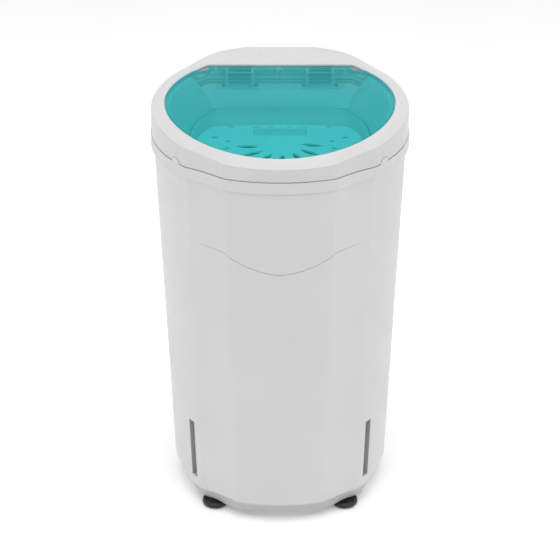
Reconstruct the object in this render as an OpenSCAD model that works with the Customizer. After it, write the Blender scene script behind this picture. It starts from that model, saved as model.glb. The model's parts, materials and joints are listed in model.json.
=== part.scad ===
/* [Cabinet] */
// Radius of the cabinet's sides at the parting line
cab_r = 217; // [212:1:224]
// Radius of the cabinet's sides at the top of the base bevel
cab_base_r = 191; // [187:1:198]
// Height of the parting line between cabinet and top cover
part_z = 688; // [660:1:720]
// Height of the top of the base bevel
bevel_z = 38; // [35:1:44]
// How far the base bevel leans in
bevel_in = 13; // [9:1:16]
// Height of the cabinet's lowest edge above the floor
lip_z = 10; // [9:1:12]
// Rise of the arches between the feet
arch_rise = 13; // [6:1:15]
// Wall of the moulded shells
wall = 3; // [2.4:0.1:3.6]
// How far the front facet lies inside the round
facet_in = 4; // [2:0.5:6]
// Radius of the front facet's own curve, seen from above
facet_bow = 284; // [250:1:340]
// Azimuth from the front where the flute meets the front facet
flute_from = 25.4; // [22:0.1:28]
// Azimuth from the front where the flute meets the side
flute_to = 45.4; // [42:0.1:48]
// How far the flute's outer edge turns towards the side on its way down, in degrees
flute_turn = 4; // [0:0.5:5]
// How deep each flute is scooped below its chord
flute_sag = 2.5; // [1:0.1:4]
// Height of the band under the parting line
band_h = 24; // [16:1:30]
// How far the band stands proud of the cabinet
band_proud = 4.5; // [2:0.5:6]
// Height of the chamfer under the band
band_chamfer = 17; // [8:1:24]
// Height of the tongue that enters the top cover
tongue_h = 13; // [8:1:15]

/* [Side slots] */
// Azimuth of each slot from the front
slot_az = 52.6; // [51:0.1:56]
// Width of a slot
slot_w = 14; // [8:1:16]
// Height of a slot
slot_h = 118; // [80:1:140]
// Depth of a slot
slot_depth = 9; // [6:1:12]
// Height of a slot's sill above the bevel
slot_rise = 17; // [12:1:30]

/* [Top cover] */
// Radius of the top cover's wall
ring_r = 220; // [215:1:227]
// Height of the top cover's wall at its sides
rim_h = 45; // [42:1:52]
// Extra height of the rear console
console_rise = 3; // [1:0.5:5]
// Radius of the arc that the lid follows from the middle to the front
lid_bow = 1458; // [1300:10:2200]
// How far the console swells out at the rear corners
console_swell = 12; // [4:1:14]
// Drop of the rim at the front
nose_drop = 13.6; // [8:0.1:16]
// Radius of the opening that holds the lid
seat_r = 196.5; // [190:0.5:200]
// Distance from the drum axis to the console's front wall
console_y = 153.5; // [151:0.5:158]
// Depth of the step that the lid's skirt stands in
seat_step = 8; // [6:0.5:10]
// Width of the floor of that step
seat_w = 9.5; // [7:0.5:12]
// Height of the hinge shelf above the parting line
shelf_up = 14; // [8:1:16]
// Depth of the hinge shelf, front to rear
shelf_w = 22.5; // [20:0.5:26]
// Radius of the throat at its top
throat_r = 153; // [148:1:156]
// Distance from the drum axis to the throat's straight rear wall
throat_y = 107; // [100:1:112]
// Height of the throat's wall
throat_h = 29; // [24:1:34]
// Depth of the throat's top below the parting line
throat_down = 13; // [8:1:18]
// How far the straight wall leans forward over its height
throat_lean = 16; // [8:1:20]
// Width of the ledge that carries the inner cover
ledge_w = 5; // [4:0.5:8]

/* [Lid] */
// Gap between the lid's edge and its opening
lid_gap = 1.5; // [1:0.1:2.5]
// Thickness of the lid
lid_t = 2.6; // [2:0.1:3.2]
// Depth of the skirt under the lid's edge
skirt_h = 7; // [5:0.5:7.5]
// Radius of the raised middle of the lid
panel_r = 167; // [150:1:176]
// Height of the raised middle
panel_rise = 1.6; // [0.8:0.1:3]
// Radius of the roll along the lid's rear edge
roll_r = 12; // [11.5:0.5:12.5]
// Half length of that roll
roll_half = 111; // [100:1:114]

/* [Hinge] */
// Radius of the two hinge pins
pin_r = 3; // [2:0.5:4]
// Distance from the middle to the inner ear of each hinge
ear_x = 46; // [38:1:52]
// Thickness of an ear
ear_t = 4; // [3:0.5:5]
// Width of the lid's knuckle between two ears
knuckle_w = 41; // [24:1:44]
// Radius of the ears and of their pin holes' bosses
ear_r = 7; // [6:0.5:8]

/* [Inner cover] */
// Thickness of the inner cover
inner_t = 3; // [2.4:0.1:4]
// Rise of the inner cover's dome
inner_rise = 6; // [2:0.5:10]
// Number of leaf-shaped slots round a full turn
leaf_count = 12; // [10:2:16]
// Distance from the middle to a leaf slot's inner end
leaf_from = 35; // [32:1:42]
// Length of a leaf slot
leaf_len = 42; // [30:1:46]
// Width of a leaf slot
leaf_w = 11; // [6:1:13]
// Width of the finger pocket
pocket_w = 94; // [80:1:110]
// Size of the finger pocket from front to rear
pocket_d = 34; // [28:1:36]
// Depth of the finger pocket
pocket_h = 13; // [8:1:15]

/* [Basket] */
// Outer radius of the basket
basket_r = 158; // [152:1:162]
// Sheet thickness of the basket
sheet = 1.5; // [1:0.1:2.5]
// Radius of the rolled top edge
curl_r = 4; // [3:0.5:5]
// Gap under the throat's ledge
basket_gap = 7; // [5:1:12]
// Number of holes in one row
hole_count = 24; // [16:2:28]
// Number of rows of holes
hole_rows = 7; // [4:1:8]
// Radius of a drain hole
hole_r = 3; // [2:0.5:4]
// Radius of the boss in the middle of the floor
boss_r = 30; // [26:1:36]

/* [Tub] */
// Gap between basket and tub
tub_gap = 13; // [11:1:15]
// Height of the tub's floor above the floor
tub_z = 250; // [246:1:256]
// Radius of the drain pipe's bore
drain_r = 9; // [7:0.5:10]
// Wall of the drain pipe
drain_wall = 2; // [1.5:0.1:2.5]

/* [Drive] */
// Radius of the motor shaft
shaft_r = 8; // [6:0.5:9]
// Radius of the motor's stator
motor_r = 62; // [54:1:68]
// Height of the stator's lamination stack
stack_h = 50; // [40:1:54]
// Height of the motor plate above the floor
plate_z = 98; // [94:1:104]
// Thickness of the motor plate
plate_t = 3; // [2:0.5:4]
// Distance from the axis to each rubber mount
mount_at = 104; // [98:1:110]
// Radius of a rubber mount
mount_r = 19; // [15:1:22]
// Radius of the brake drum
brake_r = 46; // [40:1:50]
// Height of the brake drum
brake_h = 22; // [16:1:24]

/* [Base and feet] */
// Distance from the middle to each foot, left to right
foot_x = 116; // [106:1:120]
// Distance from the drum axis to each foot, front to rear
foot_y = 121; // [110:1:124]
// Radius of a foot
foot_r = 24; // [20:1:26]
// Height of a foot's round pad
foot_h = 12; // [11:0.5:14]
// Thickness of the base plate
base_t = 4; // [3:0.5:5]

/* [Fits] */
// Running clearance of a pin in its bore
run = 0.05; // [0.02:0.01:0.08]
// Gap between pieces that lie on each other
gap = 0.3; // [0.2:0.05:0.5]

/* [Hidden] */
$fn = 96;
eps = 0.01;

// The drum axis stands a little behind the middle of the outline
front_reach = ring_r - facet_in - 2;
axis_y = (front_reach - ring_r - 4) / 2;

// Colours
white = "#ececec";
teal = [0.18, 0.66, 0.66, 0.6];
steel = "#b9bcbf";
dark = "#2b2c2e";
grey = "#8c9094";

function clamp01(t) = min(1, max(0, t));
function smooth(t) = let (s = clamp01(t)) s * s * (3 - 2 * s);
function mix(a, b, t) = a + (b - a) * t;
function dir(az) = [sin(az), -cos(az)];

// ---- Outline of the moulded body, as levels: [height, side radius, front reach] ----
facet_cy = facet_bow - front_reach;
level_top = [part_z, cab_r, front_reach - 1];
level_base = [bevel_z, cab_base_r, cab_base_r - 5.5];
level_lip = [lip_z, cab_base_r - bevel_in, cab_base_r - 5.5 - bevel_in];
level_ring = [part_z, ring_r, front_reach];

// Polar radius of the front facet's arc at one azimuth
function facet_at(level, az) =
    let (c = facet_cy * cos(az), r = level[2] + facet_cy)
    -c + sqrt(r * r - facet_cy * facet_cy + c * c);

// Ends of the flute's chord, where it meets the front facet and the side
function fall(level) = clamp01((ring_r - level[1]) / (ring_r - cab_base_r));
function flute_in(level) =
    let (az = flute_from + flute_turn / 2 * fall(level)) min(level[1], facet_at(level, az)) * dir(az);
function flute_out(level) =
    level[1] * dir(flute_to + flute_turn * fall(level));

// Centre of the circle that scoops the flute, set by the chord at the top
function flute_chord_r(level) =
    let (h = norm(flute_out(level) - flute_in(level)) / 2)
    (h * h + flute_sag * flute_sag) / (2 * flute_sag);
flute_c =
    let (a = flute_in(level_ring), b = flute_out(level_ring), d = (b - a) / norm(b - a))
    (a + b) / 2 + [d[1], -d[0]] * (flute_chord_r(level_ring) - flute_sag);
function flute_r(level) =
    norm((flute_in(level) + flute_out(level)) / 2 - flute_c) + flute_sag;

// Upright frustum that keeps its cone a little beyond both levels
module long_cone(centre, low, r_low, high, r_high) {
    slope = (r_high - r_low) / (high - low);
    translate([centre[0], centre[1], low - 1])
        cylinder(h = high - low + 2, r1 = r_low - slope, r2 = r_high + slope, $fn = 360);
}

// Solid between two levels of the body, with its facet and flutes
module body_between(low, high, inset = 0) {
    difference() {
        intersection() {
            translate([0, 0, low[0]])
                cylinder(h = high[0] - low[0], r1 = low[1] - inset, r2 = high[1] - inset, $fn = 180);
            long_cone([0, facet_cy], low[0], low[2] + facet_cy - inset, high[0], high[2] + facet_cy - inset);
        }
        for (side = [0, 1]) mirror([side, 0, 0])
            long_cone(flute_c, low[0], flute_r(low) + inset, high[0], flute_r(high) + inset);
    }
}

// Upright frustum on the line of two radii, drawn from one height to another
module line_cone(centre, za, ra, zb, rb, from, to) {
    slope = (rb - ra) / (zb - za);
    translate([centre[0], centre[1], from])
        cylinder(h = to - from, r1 = ra + slope * (from - za), r2 = ra + slope * (to - za), $fn = 360);
}

// Whole body from the lip to the parting line: upper faces and base bevel cut each other
module body_whole(inset, from, to) {
    far = 400;
    difference() {
        intersection() {
            translate([-far, -far, from]) cube([2 * far, 2 * far, to - from]);
            side_and_front(inset, from - 2, to + 2);
        }
        for (side = [0, 1]) mirror([side, 0, 0]) {
            line_cone(flute_c, bevel_z, flute_r(level_base) + inset, part_z, flute_r(level_top) + inset,
                      from - 2, to + 2);
            line_cone(flute_c, lip_z, flute_r(level_lip) + inset, bevel_z, flute_r(level_base) + inset,
                      from - 2, bevel_z + 60);
        }
    }
}

// Round sides and front facet, each with its base bevel
module side_and_front(inset, from, to) {
    front = [0, facet_cy];
    intersection() {
        line_cone([0, 0], bevel_z, level_base[1] - inset, part_z, level_top[1] - inset, from, to);
        line_cone([0, 0], lip_z, level_lip[1] - inset, bevel_z, level_base[1] - inset, from, to);
        line_cone(front, bevel_z, level_base[2] + facet_cy - inset, part_z, level_top[2] + facet_cy - inset,
                  from, to);
        line_cone(front, lip_z, level_lip[2] + facet_cy - inset, bevel_z, level_base[2] + facet_cy - inset,
                  from, to);
    }
}

// The level of the body's face at a height between bevel and parting line
function face_level(z) =
    let (t = (z - bevel_z) / (part_z - bevel_z))
    [z, mix(level_base[1], level_top[1], t), mix(level_base[2], level_top[2], t)];
function face_r(z) = face_level(z)[1];
function front_y(z) = -face_level(z)[2];

module at_axis() { translate([0, axis_y, 0]) children(); }

// ---- Rim heights of the top cover, from the distance behind the drum axis ----
nose_from = 95;
function nose(y, from, power) = pow(max(0, -y - from) / (front_reach - from), power);
function rim_out_z(y) =
    part_z + rim_h + 0.03 * y - nose_drop * nose(y, nose_from, 1.4)
    + console_rise * smooth((y - 140) / 55) + 1.5 * smooth(y / 140);
// The lid and its opening follow one large arc that starts behind the drum axis
bow_y = 20;
lid_z0 = part_z + rim_h + 8;
function bow_drop(y) = lid_bow - sqrt(lid_bow * lid_bow - pow(min(0, y - bow_y), 2));
function rim_in_z(y) = lid_z0 - bow_drop(y);

// ---- Plan curves, drawn round the drum axis by azimuth from the front ----
// Azimuths of the corners where the throat and the lid's opening meet their straight rear walls
corner_az = [
    180 - acos((throat_y - throat_lean) / (throat_r - 2.5)),
    180 - acos(throat_y / throat_r),
    180 - acos(console_y / (seat_r + 3.5))];
// Azimuths of one half: front facet, flute, side and rear
half_az = concat(
    [for (i = [0:5]) flute_from * i / 6],
    [for (i = [0:5]) flute_from + (flute_to - flute_from) * i / 6],
    [for (i = [0:21]) mix(flute_to, corner_az[0], i / 22)],
    [for (i = [0:1]) mix(corner_az[0], corner_az[1], i / 2)],
    [for (i = [0:1]) mix(corner_az[1], corner_az[2], i / 2)],
    [for (i = [0:10]) mix(corner_az[2], 180, i / 11)]);
ring_az = concat(half_az, [180], [for (i = [len(half_az) - 1:-1:1]) 360 - half_az[i]]);

function side_az(az) = az > 180 ? 360 - az : az;
function flute_at(level, az) =
    let (d = dir(az) * flute_c, q = d * d - flute_c * flute_c + pow(flute_r(level), 2))
    q > 0 ? d - sqrt(q) : 9999;
function outline_at(level, az) =
    let (a = side_az(az))
    min(level[1], facet_at(level, a), a > flute_from && a < flute_to ? flute_at(level, a) : 9999);
// A circle cut by a straight rear wall at y
function dee_at(r, y, az) = let (c = -cos(az)) c > 0.01 ? min(r, y / c) : r;

// The console swells beyond the round at the rear
function console_at(az) =
    let (a = abs(az - 180))
    min(ring_r + console_swell * smooth((50 - a) / 26), (ring_r + 4) / cos(min(a, 60)));
// Opening of the lid, a little wider at the two rear corners
function seat_at(az) = seat_r + 3.5 * (1 - smooth(abs(abs(az - 180) - 38) / 9));

// 1 at the rear, where the hinge shelf lies, and 0 along the rest of the step
function rear_part(az) = 1 - smooth((abs(az - 180) - 46) / 8);

function curve_pts(radii, heights) =
    [for (i = [0:len(ring_az) - 1]) [radii[i] * sin(ring_az[i]), -radii[i] * cos(ring_az[i]), heights[i]]];
function outline_curve(inset, heights) =
    curve_pts([for (a = ring_az) outline_at(level_ring, a) - inset], heights);
function top_at(az) = max(outline_at(level_ring, az), abs(az - 180) < 60 ? console_at(az) : 0);
function top_curve(inset, heights) = curve_pts([for (a = ring_az) top_at(a) - inset], heights);
function seat_curve(add, heights) =
    curve_pts([for (a = ring_az) dee_at(seat_at(a) + add, console_y + add, a)], heights);
function dee_curve(r, y, heights) = curve_pts([for (a = ring_az) dee_at(r, y, a)], heights);
function dee_y(r, y, az) = -cos(az) * dee_at(r, y, az);
function flat(z) = [for (a = ring_az) z];

// Skin over a list of curves; loop closes the last curve on the first, else both ends are capped
module loft(curves, loop = false) {
    n = len(curves[0]);
    m = len(curves);
    rows = loop ? m : m - 1;
    sides = [for (j = [0:rows - 1], i = [0:n - 1])
        let (a = j * n + i, b = j * n + (i + 1) % n, c = ((j + 1) % m) * n + (i + 1) % n,
             d = ((j + 1) % m) * n + i)
        each [[a, c, b], [a, d, c]]];
    caps = loop ? [] : [[for (i = [0:n - 1]) i], [for (i = [n - 1:-1:0]) (m - 1) * n + i]];
    polyhedron(points = [for (c = curves) each c], faces = concat(sides, caps), convexity = 8);
}

// ---- Heights of the stack ----
throat_z = part_z - throat_down;
ledge_z = throat_z - throat_h;
ledge_t = 3;
shelf_z = part_z + shelf_up;
throat_low_y = throat_y - throat_lean;
throat_low_r = throat_r - 2.5;
basket_top = ledge_z - ledge_t - basket_gap;
basket_z = tub_z + 34;
tub_r = basket_r + tub_gap;
flange_z = part_z - 33;
hinge_y = console_y - 1.5 - roll_r;
hinge_z = rim_in_z(hinge_y) + 0.8 - roll_r;
console_low = rim_in_z(console_y) - wall - 1.5;
switch_y = 176;
plunger_z = hinge_z - 4;

// Plate of the top cover at the lid's step, seen along each azimuth
function step_z(az, drop) =
    let (y = dee_y(seat_r, console_y, az))
    mix(rim_in_z(y) - seat_step, shelf_z, rear_part(az)) - drop;

// ---------------------------------------------------------------- cabinet
module cabinet_skin() {
    body_whole(0, lip_z, part_z);
    band_top = [part_z, cab_r + band_proud, front_reach];
    band_low = [part_z - band_h, cab_r + band_proud, front_reach - 0.6];
    low = face_level(part_z - band_h - band_chamfer);
    body_between(band_low, band_top);
    body_between(low, band_low);
}

module cabinet_hollow() {
    body_whole(wall, lip_z - 1, part_z + 1);
}

module slot_place(extra = 0) {
    z0 = bevel_z + slot_rise;
    r = face_r(z0 + slot_h / 2);
    for (s = [-1, 1])
        translate([s * r * sin(slot_az), -r * cos(slot_az), z0 - extra])
            rotate([0, 0, s * slot_az])
                children();
}

lean = atan((cab_r - cab_base_r) / (part_z - bevel_z));

// Pocket of a side slot: a blind trench leaning with the wall
module slot_box(grow, depth) {
    translate([0, 0, slot_h / 2]) rotate([lean, 0, 0])
        translate([-slot_w / 2 - grow, -6, -slot_h / 2 - grow])
            cube([slot_w + 2 * grow, 6 + depth, slot_h + 2 * grow]);
}

// Bumps on the cabinet's edge that the top cover snaps over
snap_az = 52;
snap_r = 10;
module snap_bump(r, thick, reach) {
    for (s = [-1, 1]) rotate([0, 0, s * snap_az])
        translate([0, -reach, part_z - 1]) rotate([-90, 0, 0])
            cylinder(h = thick, r = r);
}

arch_half = 63;
arch_r = (arch_half * arch_half + arch_rise * arch_rise) / (2 * arch_rise);
module arches() {
    for (a = [0, 90]) rotate([0, 0, a])
        translate([0, -260, lip_z + arch_rise - arch_r]) rotate([-90, 0, 0])
            cylinder(h = 520, r = arch_r, $fn = 180);
    for (i = [0:3]) rotate([0, 0, atan2(foot_y, foot_x) + 90 * i - (i % 2) * (2 * atan2(foot_y, foot_x) - 90)])
        translate([120, 0, foot_h + 4.5 - 60]) rotate([0, 90, 0]) cylinder(h = 140, r = 60, $fn = 180);
}

gland_z = bevel_z + 34;
gland_x = -62;
gland_r = 11;
spout_z = bevel_z + 42;
spout_x = 0;
spout_r = drain_r + drain_wall;
function rear_y(z, x) = sqrt(pow(face_r(z), 2) - x * x);

module rear_hole(x, z, r) {
    translate([x, 120, z]) rotate([-90, 0, 0]) cylinder(h = 120, r = r);
}

// Ribbed ring, bonded inside the cabinet, that carries the tub
module tub_ring() color(white) at_axis() {
    z = flange_z - gap;
    difference() {
        union() {
            intersection() {
                difference() {
                    translate([0, 0, z - 4]) cylinder(h = 4, r = cab_r);
                    translate([0, 0, z - 5]) cylinder(h = 6, r = tub_r + 8);
                }
                body_between(face_level(z - 30), face_level(z + 30), wall + 0.2);
            }
            for (i = [0:11]) rotate([0, 0, 15 + 30 * i])
                translate([tub_r + 9, -1.2, z - 24]) cube([16, 2.4, 21]);
        }
        tub_screw_spots() translate([0, 0, -14]) cylinder(h = 14, r = 2.2, $fn = 24);
    }
}

// Lugs that the base plate is screwed to
base_z = bevel_z - 2;
lug_at = 172;
module base_lugs() {
    for (i = [0:3]) rotate([0, 0, 90 * i])
        intersection() {
            difference() {
                union() {
                    translate([lug_at - 7, 0, base_z + base_t + gap]) cylinder(h = 18, r = 7);
                    translate([lug_at - 7, -2, base_z + base_t + gap]) cube([40, 4, 18]);
                }
                translate([lug_at - 7, 0, base_z + base_t]) cylinder(h = 15, r = 2);
            }
            body_between(level_base, face_level(bevel_z + 60), wall - 1);
        }
}

module cabinet() color(white) at_axis() {
    difference() {
        union() {
            difference() {
                cabinet_skin();
                cabinet_hollow();
                slot_place() slot_box(0, slot_depth);
                rear_hole(gland_x, gland_z, gland_r);
                rear_hole(spout_x, spout_z, spout_r + gap);
            }
            // tongue inside the top cover's wall
            difference() {
                body_between([part_z - 4, ring_r - wall - gap, front_reach - wall - gap],
                             [part_z + tongue_h, ring_r - wall - gap, front_reach - wall - gap]);
                body_between([part_z - 5, ring_r - 2 * wall, front_reach - 2 * wall],
                             [part_z + tongue_h + 1, ring_r - 2 * wall, front_reach - 2 * wall]);
            }
            intersection() {
                slot_place() difference() {
                    slot_box(2, slot_depth + 2);
                    slot_box(0, slot_depth);
                }
                body_between(level_base, face_level(bevel_z + 300), wall - 1);
            }
            intersection() {
                snap_bump(snap_r, 12, ring_r + 2);
                body_between([part_z - 2, ring_r, front_reach], [part_z + 20, ring_r, front_reach]);
            }
            base_lugs();
        }
        arches();
        cover_screw_spots() translate([0, 0, -5]) cylinder(h = 18, r = 2.2, $fn = 24);
    }
}

// ---------------------------------------------------------------- top cover
function ring_y(az) = -cos(az) * top_at(az);
module cover_skin() {
    lid_y = [for (a = ring_az) dee_y(seat_r, console_y, a)];
    loft([
        outline_curve(0, flat(part_z + 0.6)),
        outline_curve(0, flat(part_z + 9)),
        top_curve(0, flat(part_z + 20)),
        top_curve(0, [for (a = ring_az) rim_out_z(ring_y(a)) - 1.5]),
        top_curve(1.5, [for (a = ring_az) rim_out_z(ring_y(a))]),
        seat_curve(9, [for (a = ring_az) mix(rim_out_z(ring_y(a)), rim_in_z(dee_y(seat_r, console_y, a)), 0.72)]),
        seat_curve(1.5, [for (y = lid_y) rim_in_z(y)]),
        seat_curve(0, [for (y = lid_y) rim_in_z(y) - 1.5]),
        seat_curve(0, [for (a = ring_az) step_z(a, 0)]),
        dee_curve(seat_r - seat_w, console_y - shelf_w, [for (a = ring_az) step_z(a, 0)]),
        dee_curve(throat_r, throat_y, flat(throat_z)),
        dee_curve(throat_low_r, throat_low_y, flat(ledge_z)),
        dee_curve(throat_low_r - ledge_w, throat_low_y - ledge_w, flat(ledge_z)),
        dee_curve(throat_low_r - ledge_w, throat_low_y - ledge_w, flat(ledge_z - ledge_t)),
        dee_curve(throat_low_r + wall, throat_low_y + wall, flat(ledge_z - ledge_t)),
        dee_curve(throat_r + wall, throat_y + wall, flat(throat_z - 1.5)),
        dee_curve(seat_r - seat_w + wall, console_y - shelf_w + wall,
                  [for (a = ring_az) step_z(a, wall)]),
        seat_curve(wall, [for (a = ring_az) step_z(a, wall)]),
        seat_curve(wall, [for (y = lid_y) rim_in_z(y) - wall - 1.5]),
        top_curve(wall, [for (a = ring_az) rim_out_z(ring_y(a)) - wall - 1]),
        top_curve(wall, [for (a = ring_az) min(part_z + 20, rim_out_z(ring_y(a)) - wall - 2)]),
        outline_curve(wall, flat(part_z + 9)),
        outline_curve(wall, flat(part_z + 0.6))
    ], loop = true);
}

// Shallow panels beside the console's raised middle
console_half = 36;
module console_panels() {
    for (s = [0, 1]) mirror([s, 0, 0])
        intersection() {
            translate([console_half, console_y + 6, rim_in_z(console_y) - 1.4])
                cube([70, 34, 30]);
            translate([0, 0, part_z]) cylinder(h = 100, r = ring_r - 18);
        }
}

cover_screw_x = 70;
function cover_screw_y() = sqrt(ring_r * ring_r - cover_screw_x * cover_screw_x);
cover_screw_az = asin(cover_screw_x / ring_r);
cover_screw_z = part_z + 5;
module cover_screw_spots() {
    for (s = [-1, 1]) rotate([0, 0, s * cover_screw_az]) translate([0, ring_r, cover_screw_z])
        rotate([90, 0, 0]) children();
}

module top_cover() color(white) at_axis() {
    difference() {
        cover_skin();
        console_panels();
        snap_bump(snap_r + gap + 0.4, 16, ring_r + 4);
        cover_screw_spots() translate([0, 0, -5]) cylinder(h = 12, r = 2.2);
        for (s = [0, 1]) mirror([s, 0, 0]) hinge_screw_spots() translate([0, 0, -9]) cylinder(h = 9, r = 2.1, $fn = 24);
        translate([0, console_y - 3, plunger_z]) rotate([-90, 0, 0]) cylinder(h = 9, r = plunger_r + 0.4);
    }
}

// Two brackets on the shelf, each with a pair of ears for its hinge pin
ear_span = 2 * ear_t + knuckle_w + 2 * gap;
module hinge_brackets() color(white) at_axis() {
    for (s = [0, 1]) mirror([s, 0, 0]) difference() {
        union() {
            translate([ear_x - 8, hinge_y - ear_r, shelf_z]) cube([ear_span + 16, 2 * ear_r, 3]);
            for (x = [ear_x, ear_x + ear_span - ear_t]) {
                translate([x, hinge_y - ear_r, shelf_z]) cube([ear_t, 2 * ear_r, hinge_z - shelf_z]);
                translate([x, hinge_y, hinge_z]) rotate([0, 90, 0]) cylinder(h = ear_t, r = ear_r);
            }
        }
        translate([ear_x - 1, hinge_y, hinge_z]) rotate([0, 90, 0]) cylinder(h = ear_span + 2, r = pin_r);
        hinge_screw_spots() translate([0, 0, -5]) cylinder(h = 12, r = 2.1, $fn = 24);
    }
}

module hinge_screw_spots() {
    for (x = [ear_x - 4, ear_x + ear_span + 4]) translate([x, hinge_y, shelf_z + 3]) children();
}

module hinge_screws() color(steel) at_axis() {
    for (s = [0, 1]) mirror([s, 0, 0]) hinge_screw_spots() {
        cylinder(h = 2.2, r = 3.8);
        translate([0, 0, -3 - wall + 1]) cylinder(h = 6, r = 2, $fn = 24);
    }
}

// ---------------------------------------------------------------- lid
lid_r = seat_r - lid_gap;
lid_y = hinge_y + 3;
ear_cut_x = 125;
lid_up = 0.8;

// Band that follows the lid's arc, from one depth under its top to another
module lid_band(from, to) {
    difference() {
        lid_under(from);
        lid_under(to);
    }
}

// Everything under the lid's arc, lowered by one depth
module lid_under(depth) {
    z = lid_z0 + lid_up - depth;
    translate([-220, 0, 0]) rotate([90, 0, 90]) linear_extrude(440) {
        difference() {
            translate([bow_y, z - lid_bow]) circle(r = lid_bow, $fn = 720);
            translate([bow_y, z - 3 * lid_bow]) square([2 * lid_bow, 4 * lid_bow]);
            translate([-3 * lid_bow, z - 3 * lid_bow]) square([6 * lid_bow, 3 * lid_bow - 100]);
        }
        translate([bow_y - 0.01, z - 100]) square([200, 100]);
    }
}

// Round outline with a straight rear edge and cut rear corners
module lid_column(r, y, x) {
    intersection() {
        translate([0, 0, part_z]) cylinder(h = 90, r = r, $fn = 180);
        union() {
            translate([-240, -240, part_z - 1]) cube([480, 240 + hinge_y - 15, 92]);
            translate([-x, -240, part_z - 1]) cube([2 * x, 240 + y, 92]);
        }
    }
}

module lid_plate() {
    difference() {
        union() {
            intersection() {
                lid_column(lid_r, lid_y, ear_cut_x);
                lid_band(0, skirt_h);
            }
            intersection() {
                lid_column(panel_r, hinge_y - 18, panel_r);
                lid_band(-panel_rise, 1);
            }
        }
        intersection() {
            lid_column(lid_r - lid_t, lid_y + 5, ear_cut_x - lid_t);
            lid_band(lid_t, skirt_h + 1);
        }
        intersection() {
            lid_column(panel_r - lid_t, hinge_y - 18 - lid_t, panel_r);
            lid_band(lid_t - panel_rise, lid_t + 1);
        }
    }
}

module along_hinge(half, r) {
    translate([-half, hinge_y, hinge_z]) rotate([0, 90, 0]) cylinder(h = 2 * half, r = r);
}

// Rear edge of the lid, rolled down behind the hinge axis
module lid_roll() {
    difference() {
        along_hinge(roll_half, roll_r);
        along_hinge(roll_half + 1, roll_r - lid_t);
        translate([-roll_half - 1, hinge_y - 40, hinge_z - 40]) cube([2 * roll_half + 2, 39.5, 80]);
        translate([-roll_half - 1, hinge_y - 40, hinge_z - 48]) cube([2 * roll_half + 2, 80, 40]);
        // room for the ears while the lid stands open
        for (s = [0, 1], x = [ear_x, ear_x + ear_span - ear_t]) mirror([s, 0, 0])
            translate([x - 0.5, hinge_y, hinge_z - 20]) cube([ear_t + 1, 30, 20 + roll_r * 0.8]);
    }
}

module lid_knuckles() {
    for (s = [0, 1]) mirror([s, 0, 0])
        translate([ear_x + ear_t + gap, hinge_y, hinge_z]) rotate([0, 90, 0]) difference() {
            cylinder(h = knuckle_w, r = roll_r - 1);
            translate([0, 0, -1]) cylinder(h = knuckle_w + 2, r = pin_r + run);
        }
}

module lid() color(teal) at_axis() {
    difference() {
        union() {
            lid_plate();
            lid_roll();
        }
        // notch that lets the switch's plunger out once the lid is raised
        translate([-5, hinge_y - 0.5, hinge_z - 3]) cube([10, 30, roll_r + 12]);
    }
    lid_knuckles();
}

module hinge_pins() color(steel) at_axis() {
    for (s = [0, 1]) mirror([s, 0, 0])
        translate([ear_x, hinge_y, hinge_z]) rotate([0, 90, 0]) cylinder(h = ear_span, r = pin_r);
}

// ---------------------------------------------------------------- inner cover
inner_r = throat_low_r - 0.7;
inner_y = throat_low_y - 0.7;
inner_z = ledge_z + gap;
dome_r = (inner_r * inner_r + inner_rise * inner_rise) / (2 * inner_rise);

module dome(r, z, lift) {
    intersection() {
        translate([0, 0, z]) cylinder(h = 40, r = r);
        translate([0, 0, z + lift + inner_rise - dome_r]) sphere(r = dome_r, $fn = 180);
    }
}

// Leaf: the lens shared by two circles
module leaf(len, w) {
    r = (len * len / 4 + w * w / 4) / w;
    linear_extrude(60) intersection() {
        translate([0, r - w / 2]) circle(r = r);
        translate([0, w / 2 - r]) circle(r = r);
    }
}

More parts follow.
